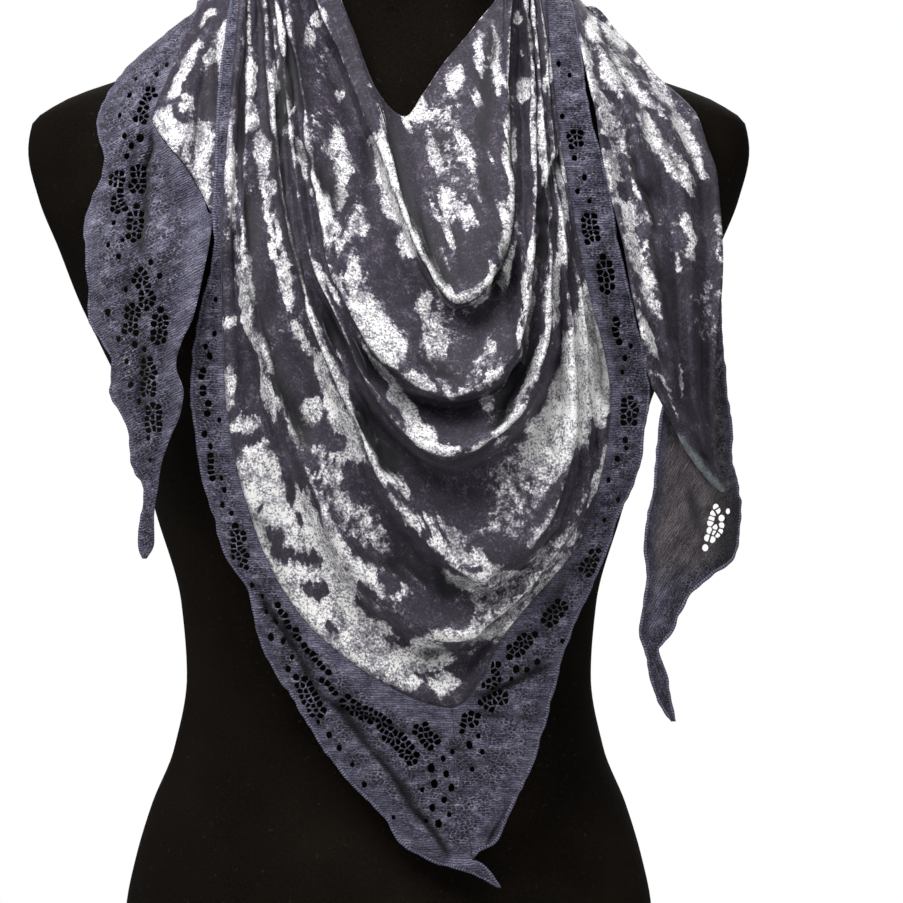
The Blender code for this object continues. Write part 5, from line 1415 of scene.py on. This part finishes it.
def wrap_trim(name, table, gauze, thread):
    """The trim along the lower edge of one stretch behind the neck, and its overlocked edge."""
    left_width, right_width = WRAP_TRIM_ENDS[name]

    def wide(run):
        bearing = wrap_bearing(run)
        plain = left_width + (right_width - left_width) * (1 - bearing / 180)
        return plain + WRAP_TRIM * np.sin(np.radians(bearing))

    def hang(flat):
        run, down = flat.T
        bearing = wrap_bearing(run)
        middle = np.sin(np.radians(bearing))
        part = down / wide(run)
        wave = WRAP_TRIM_WAVE * middle * np.sin(math.tau * part)
        wave += 0.4 * middle * rough_noise(run, down, 9.0, 2, 131) * ease(0, 5, down)
        wave += middle * flutter(run, 17) * ease(0.5, 1, part)
        points, _ = wrap_points(table, bearing, SEAM / 2 + down, np.ones_like(run), wave)
        return push_clear(points)

    whole = (180 - 2 * WRAP_MARGIN) * WRAP_ARC
    run = np.linspace(0, whole, 190)
    rim = np.column_stack([run, wide(run) + 0.5 * line_noise(run, 9.0, 19) - 0.5])
    outline = np.vstack([np.column_stack([run, run * 0]), rim[::-1]])
    holes = []
    for k, at in enumerate(np.arange(16, whole - 12, EYELET_PITCH)):
        width = float(wide(at))
        if width > NARROWEST_WITH_EYELETS:
            holes.append(eyelet(np.array([at, width * EYELET_PLACES[k % 3]]), EYELET))
    flat, points, faces = hung_cloth(outline, holes, 2.2, hang, from_neck)
    piece = make_trim(f"wrap_{name}", points, faces, gauze, flat[:, ::-1])
    return piece, tube(f"overlock_wrap_{name}", hang(rim), RIM * 0.8, thread)


def build_wraps(velvet, gauze, thread, cowl_ends):
    """The two stretches behind the neck that cross at the nape, with the trim along their lower edges."""
    made = {}
    for name, table, end in (("inner", WRAP_INNER, cowl_ends[0]), ("outer", WRAP_OUTER, cowl_ends[1])):
        made[name] = (wrap_velvet(name, table, end, velvet), *wrap_trim(name, table, gauze, thread))
    return made


def node(tree, kind, settings=None, links=None):
    """Adds one node to a material, with its settings and what feeds its inputs."""
    made = tree.nodes.new(kind)
    for key, value in (settings or {}).items():
        if hasattr(made, key):
            setattr(made, key, value)
        else:
            made.inputs[key].default_value = value
    for key, source in (links or {}).items():
        tree.links.new(source, made.inputs[key])
    return made


def linear(colour):
    """An sRGB hex colour as linear values."""
    parts = [int(colour[i:i + 2], 16) / 255 for i in (1, 3, 5)]
    return [c / 12.92 if c <= 0.04045 else ((c + 0.055) / 1.055) ** 2.4 for c in parts] + [1.0]


def new_material(name):
    material = bpy.data.materials.new(name)
    material.use_nodes = True
    tree = material.node_tree
    return material, tree, tree.nodes["Principled BSDF"]


def finish(tree, shader, sources, even):
    """Connects a material's sources to its shader, and sets the values that are the same all over."""
    for name, source in sources.items():
        tree.links.new(source, shader.inputs[name])
    for name, value in even.items():
        shader.inputs[name].default_value = value


def attribute(tree, name):
    """A value that the piece holds at each of its points."""
    return node(tree, "ShaderNodeAttribute", {"attribute_name": name}).outputs["Fac"]


def maths(tree, operation, a, b=0.0, clamp=False):
    made = tree.nodes.new("ShaderNodeMath")
    made.operation = operation
    made.use_clamp = clamp
    for socket, value in zip(made.inputs, (a, b)):
        if isinstance(value, (int, float)):
            socket.default_value = value
        else:
            tree.links.new(value, socket)
    return made.outputs[0]


def add(tree, a, b, clamp=False):
    return maths(tree, "ADD", a, b, clamp)


def times(tree, a, b):
    return maths(tree, "MULTIPLY", a, b)


def add_uneven(tree, value, source, share):
    """A value raised and lowered by a share of a noise."""
    return add(tree, value, times(tree, maths(tree, "SUBTRACT", source, 0.5), share))


def stretch(tree, value, low, high, new_low=0.0, new_high=1.0):
    """A value brought from one range to another, and kept inside it."""
    limits = {"From Min": low, "From Max": high, "To Min": new_low, "To Max": new_high}
    return node(tree, "ShaderNodeMapRange", limits, {"Value": value}).outputs[0]


def ramp(tree, source, stops):
    """Colours that follow a value, with stops of a place and a hex colour."""
    made = node(tree, "ShaderNodeValToRGB", links={"Fac": source})
    points = made.color_ramp.elements
    while len(points) < len(stops):
        points.new(1.0)
    for point, (place, colour) in zip(points, stops):
        point.position = place
        point.color = linear(colour)
    return made.outputs["Color"]


def plain_colour(tree, colour):
    made = node(tree, "ShaderNodeRGB").outputs[0]
    made.default_value = linear(colour)
    return made


def mix_colour(tree, share, a, b):
    """Colour b over colour a, by a share."""
    made = tree.nodes.new("ShaderNodeMix")
    made.data_type = "RGBA"
    first, second = [socket for socket in made.inputs if socket.type == "RGBA"]
    for source, socket in ((share, made.inputs[0]), (a, first), (b, second)):
        tree.links.new(source, socket)
    return [socket for socket in made.outputs if socket.type == "RGBA"][0]


def bumps(tree, height, strength, depth):
    """A relief of the given strength, its depth in metres."""
    settings = {"Strength": strength, "Distance": depth}
    return node(tree, "ShaderNodeBump", settings, {"Height": height}).outputs[0]


def cloth_place(tree, along, across):
    """The cloth's own coordinates in metres, as steps of the given lengths in millimetres."""
    uv = node(tree, "ShaderNodeUVMap", {"uv_map": "cloth"})
    steps = {"Scale": (1000 / along, 1000 / across, 1)}
    return node(tree, "ShaderNodeMapping", steps, {"Vector": uv.outputs[0]}).outputs[0]


def bands(tree, place, direction, scale, distortion, **detail):
    """Soft stripes square to one direction, bent by the distortion."""
    settings = {"wave_type": "BANDS", "bands_direction": direction, "Scale": scale}
    settings["Distortion"] = distortion
    settings.update({name.replace("_", " ").title(): value for name, value in detail.items()})
    return node(tree, "ShaderNodeTexWave", settings, {"Vector": place}).outputs["Fac"]


def noise(tree, place, scale, **settings):
    settings["Scale"] = scale
    return node(tree, "ShaderNodeTexNoise", settings, {"Vector": place}).outputs["Fac"]


def speckle(tree, along, across, detail, rough, twist=0.0):
    """Uneven spots of the given length and width in millimetres, along the cloth."""
    return noise(tree, cloth_place(tree, along, across), 1.0, noise_dimensions="2D",
                 Detail=detail, Roughness=rough, Distortion=twist)


def object_place(tree):
    return node(tree, "ShaderNodeTexCoord").outputs["Object"]


def grain(tree, size, detail, rough, twist=0.0):
    """Uneven spots of the given size in millimetres, alike in all directions."""
    return noise(tree, object_place(tree), 1000 / size, Detail=detail, Roughness=rough, Distortion=twist)


def crushed_velvet():
    """Knitted polyester velvet crushed with heat: flattened pile mirrors the light as silver specks,
    upright pile stays a dark violet grey, with crisp ragged edges between the two."""
    material, tree, shader = new_material("crushed_polyester_velvet")
    fibre = grain(tree, 1.25, 1.0, 0.8)
    # How flat the pile lies: the value that each place holds, with ragged edges.
    value = times(tree, attribute(tree, "nap"), 0.78)
    value = add_uneven(tree, value, grain(tree, 13, 5.0, 0.72, 0.3), 1.7)
    value = add_uneven(tree, value, grain(tree, 4.6, 3.0, 0.68, 0.3), 1.9)
    pressed = stretch(tree, value, -0.10, 0.10)
    # Flattened pile: the flatter the brighter, and worn in places. Its silver is a painted reflection of
    # the light, laid on the real pattern of crushed pile.
    shine = stretch(tree, value, 0.0, 0.85, 0.40, 0.80)
    worn = stretch(tree, grain(tree, 9, 3.0, 0.6), 0.36, 0.62, 0.62, 1.14)
    lie = times(tree, pressed, times(tree, shine, worn))
    # Upright pile: dark, with a faint haze where it is brushed.
    lie = add(tree, lie, stretch(tree, value, -0.9, -0.05, 0.04, 0.13))
    haze = stretch(tree, grain(tree, 8, 5.0, 0.78, 0.6), 0.50, 0.72, 0.0, 0.15)
    lie = add(tree, lie, times(tree, haze, maths(tree, "SUBTRACT", 1.0, pressed)))
    # Hairline creases break up the flattened pile.
    vein = maths(tree, "ABSOLUTE", maths(tree, "SUBTRACT", grain(tree, 17, 4.0, 0.6, 1.0), 0.5))
    vein = stretch(tree, vein, 0.004, 0.018, 1.0, 0.0)
    lie = add(tree, lie, times(tree, vein, times(tree, pressed, -0.24)))
    flecks = add(tree, times(tree, lie, 2.3), 0.16)
    lie = add(tree, lie, times(tree, flecks, maths(tree, "SUBTRACT", fibre, 0.5)), clamp=True)
    colour = ramp(tree, lie, VELVET_STOPS)
    # Painted shade, darkest in the troughs and under the folds' rolled edges.
    deep = times(tree, attribute(tree, "deep"), 0.95)
    colour = mix_colour(tree, deep, colour, plain_colour(tree, CREASE_SHADE))
    back = ramp(tree, fibre, ((0.3, "#545c60"), (0.7, "#868e91")))
    colour = mix_colour(tree, attribute(tree, "reverse"), colour, back)
    relief = add(tree, times(tree, lie, -0.9), times(tree, fibre, 0.5))
    finish(
        tree, shader,
        {"Base Color": colour, "Roughness": stretch(tree, lie, 0.15, 0.8, 0.75, 0.42),
         "Normal": bumps(tree, relief, 0.35, 0.0012)},
        {"IOR": 1.5, "Sheen Weight": 0.14, "Sheen Roughness": 0.35, "Sheen Tint": linear("#c9c6d2")},
    )
    return material


def crinkled_gauze():
    """Warp-knitted viscose gauze, garment dyed slate violet: matt, with fine broken ribs about 0.9 mm
    apart. Its ribs, stitches and crinkles are painted paler where their bump stands up and darker where
    it sinks, painted light and shade."""
    material, tree, shader = new_material("crinkled_viscose_gauze")
    lace = attribute(tree, "lace")
    rib = bands(tree, cloth_place(tree, 1.0, 1.0), "Y", BANDS_A_STEP / RIB_PITCH, 7.0,
                detail=3.0, detail_scale=0.7, detail_roughness=0.65)
    crinkle = speckle(tree, 5.5, 1.6, 4.0, 0.72, 0.5)
    stitch = speckle(tree, 1.1, 0.85, 2.0, 0.75)
    knot = speckle(tree, 2.4, 2.0, 2.0, 0.6, 0.8)
    shade = times(tree, speckle(tree, 15, 9, 4.0, 0.62), 0.75)
    # The openwork has knots in place of ribs.
    plain = maths(tree, "SUBTRACT", 0.19, times(tree, lace, 0.16))
    # Ribs, crinkles and stitches are painted paler where the bump is high and darker where it is low:
    # painted light and shade.
    for source, share in ((rib, plain), (crinkle, 0.8), (stitch, 0.75), (knot, times(tree, lace, 0.9))):
        shade = add_uneven(tree, shade, source, share)
    shade = add(tree, shade, 0.12, clamp=True)
    face = ramp(tree, shade, ((0.12, "#191822"), (0.38, "#424052"), (0.60, "#636175"), (0.92, "#9a98a8")))
    back = ramp(tree, shade, ((0.15, "#1f1b1f"), (0.45, "#4e484d"), (0.85, "#7c7477")))
    colour = mix_colour(tree, attribute(tree, "reverse"), face, back)
    dark = plain_colour(tree, GAUZE_SHADE)
    # Patches of the fine net between the cells that are cut. Their open cells are painted dark, standing
    # for the shaded black form seen through them.
    cells = {"voronoi_dimensions": "2D", "feature": "DISTANCE_TO_EDGE", "Scale": 1.0, "Randomness": 1.0}
    place = cloth_place(tree, *NET_CELL)
    cell = node(tree, "ShaderNodeTexVoronoi", cells, {"Vector": place}).outputs["Distance"]
    gap = stretch(tree, cell, 0.09, 0.20)
    patch = stretch(tree, speckle(tree, 9, 6, 3.0, 0.6), 0.40, 0.52)
    colour = mix_colour(tree, times(tree, times(tree, gap, patch), times(tree, lace, 0.85)), colour, dark)
    # Painted shade in the troughs, and wherever else the deep value marks the gauze.
    colour = mix_colour(tree, times(tree, attribute(tree, "deep"), 0.9), colour, dark)
    relief = add(tree, times(tree, rib, 0.5), times(tree, stitch, 0.6))
    relief = add(tree, relief, times(tree, crinkle, 1.1))
    finish(tree, shader, {"Base Color": colour, "Normal": bumps(tree, relief, 0.7, 0.0011)},
           {"Roughness": 0.85, "IOR": 1.5, "Specular IOR Level": 0.3, "Sheen Weight": 0.12})
    return material


def overlock_thread():
    """Wooly overlock thread over a rolled edge: short slanting stitches about 1.3 mm apart, matt, with
    painted shade in between, where the bump sinks."""
    material, tree, shader = new_material("wooly_overlock_thread")
    place = cloth_place(tree, 1.3, 4.0)
    slanted = node(tree, "ShaderNodeMapping", {"Rotation": (0, 0, 0.5)}, {"Vector": place}).outputs[0]
    loops = bands(tree, slanted, "X", BANDS_A_STEP, 2.0, detail=1.0)
    shade = add(tree, times(tree, loops, 0.5), times(tree, speckle(tree, 3.0, 1.5, 2.0, 0.7), 0.5))
    colour = ramp(tree, shade, ((0.2, "#2b2a35"), (0.5, "#55536a"), (0.8, "#7f7d92")))
    finish(tree, shader, {"Base Color": colour, "Normal": bumps(tree, shade, 0.8, 0.0006)},
           {"Roughness": 0.8, "IOR": 1.5})
    return material


def black_jersey():
    """Black cotton jersey over foam: very dark warm black with a dull nap, single-knit columns about
    1.1 mm apart, and a few specks of lint."""
    material, tree, shader = new_material("black_cotton_jersey")
    place = object_place(tree)
    knit = noise(tree, place, 900.0, Detail=1.0)
    wear = noise(tree, place, 14.0, Detail=4.0)
    lint = noise(tree, place, 420.0, Detail=0.0)
    tone = add(tree, times(tree, knit, 0.4), times(tree, wear, 0.6))
    colour = ramp(tree, tone, ((0.3, "#060504"), (0.7, "#1b1611")))
    spots = ramp(tree, lint, ((0.80, "#000000"), (0.83, "#ffffff")))
    colour = mix_colour(tree, spots, colour, plain_colour(tree, "#241f1c"))
    finish(tree, shader, {"Base Color": colour, "Normal": bumps(tree, knit, 0.25, 0.0004)},
           {"Roughness": 0.95, "IOR": 1.5, "Specular IOR Level": 0.05})
    return material


def studio():
    """A plain white floor and background, a large soft light over the camera and two weaker fills."""
    bpy.ops.mesh.primitive_circle_add(vertices=96, radius=FLOOR_RADIUS, fill_type="NGON",
                                      location=(0, 0, -0.0005))
    floor = bpy.context.object
    floor.name = "studio_floor"
    material, tree, shader = new_material("white_studio_paper")
    finish(tree, shader, {}, {"Base Color": linear("#e4e4e3"), "Roughness": 0.9})
    floor.data.materials.append(material)
    for name, place, target, size, power in LIGHTS:
        data = bpy.data.lights.new(name, "AREA")
        data.shape = "DISK"
        data.size = size
        data.energy = power
        light = bpy.data.objects.new(name, data)
        light.location = place
        light.rotation_euler = (Vector(target) - Vector(place)).to_track_quat("-Z", "Y").to_euler()
        bpy.context.scene.collection.objects.link(light)
    world = bpy.data.worlds.new("white_studio")
    bpy.context.scene.world = world
    world.use_nodes = True
    tree = world.node_tree
    background = tree.nodes["Background"]
    background.inputs["Color"].default_value = (1, 1, 1, 1)
    path = node(tree, "ShaderNodeLightPath").outputs["Is Camera Ray"]
    way = node(tree, "ShaderNodeTexCoord").outputs["Generated"]
    up = node(tree, "ShaderNodeSeparateXYZ", links={"Vector": way}).outputs["Z"]
    strength = maths(tree, "MAXIMUM", stretch(tree, up, -0.4, 0.8, *WORLD_LIGHT), path)
    tree.links.new(strength, background.inputs["Strength"])
    bpy.context.scene.view_settings.view_transform = "Standard"
    camera = bpy.data.objects.new("camera", bpy.data.cameras.new("camera"))
    camera.data.lens = CAMERA_LENS
    camera.data.sensor_width = 36
    camera.data.clip_end = 60
    camera.location = Vector(CAMERA) * MM
    camera.rotation_euler = (math.pi / 2, 0, 0)
    bpy.context.scene.collection.objects.link(camera)
    bpy.context.scene.camera = camera


def main():
    studio()
    velvet, gauze, thread = crushed_velvet(), crinkled_gauze(), overlock_thread()
    form = build_form(black_jersey())
    cowl, cowl_ends = build_cowl(velvet)
    (left, left_cord), (right, right_cord) = build_front_trims(gauze, thread)
    end_left, trim_left, cord_left = build_left_tail(velvet, gauze, thread)
    end_right, trim_right, cord_out, cord_in = build_right_tail(velvet, gauze, thread)
    wraps = build_wraps(velvet, gauze, thread, cowl_ends)


main()
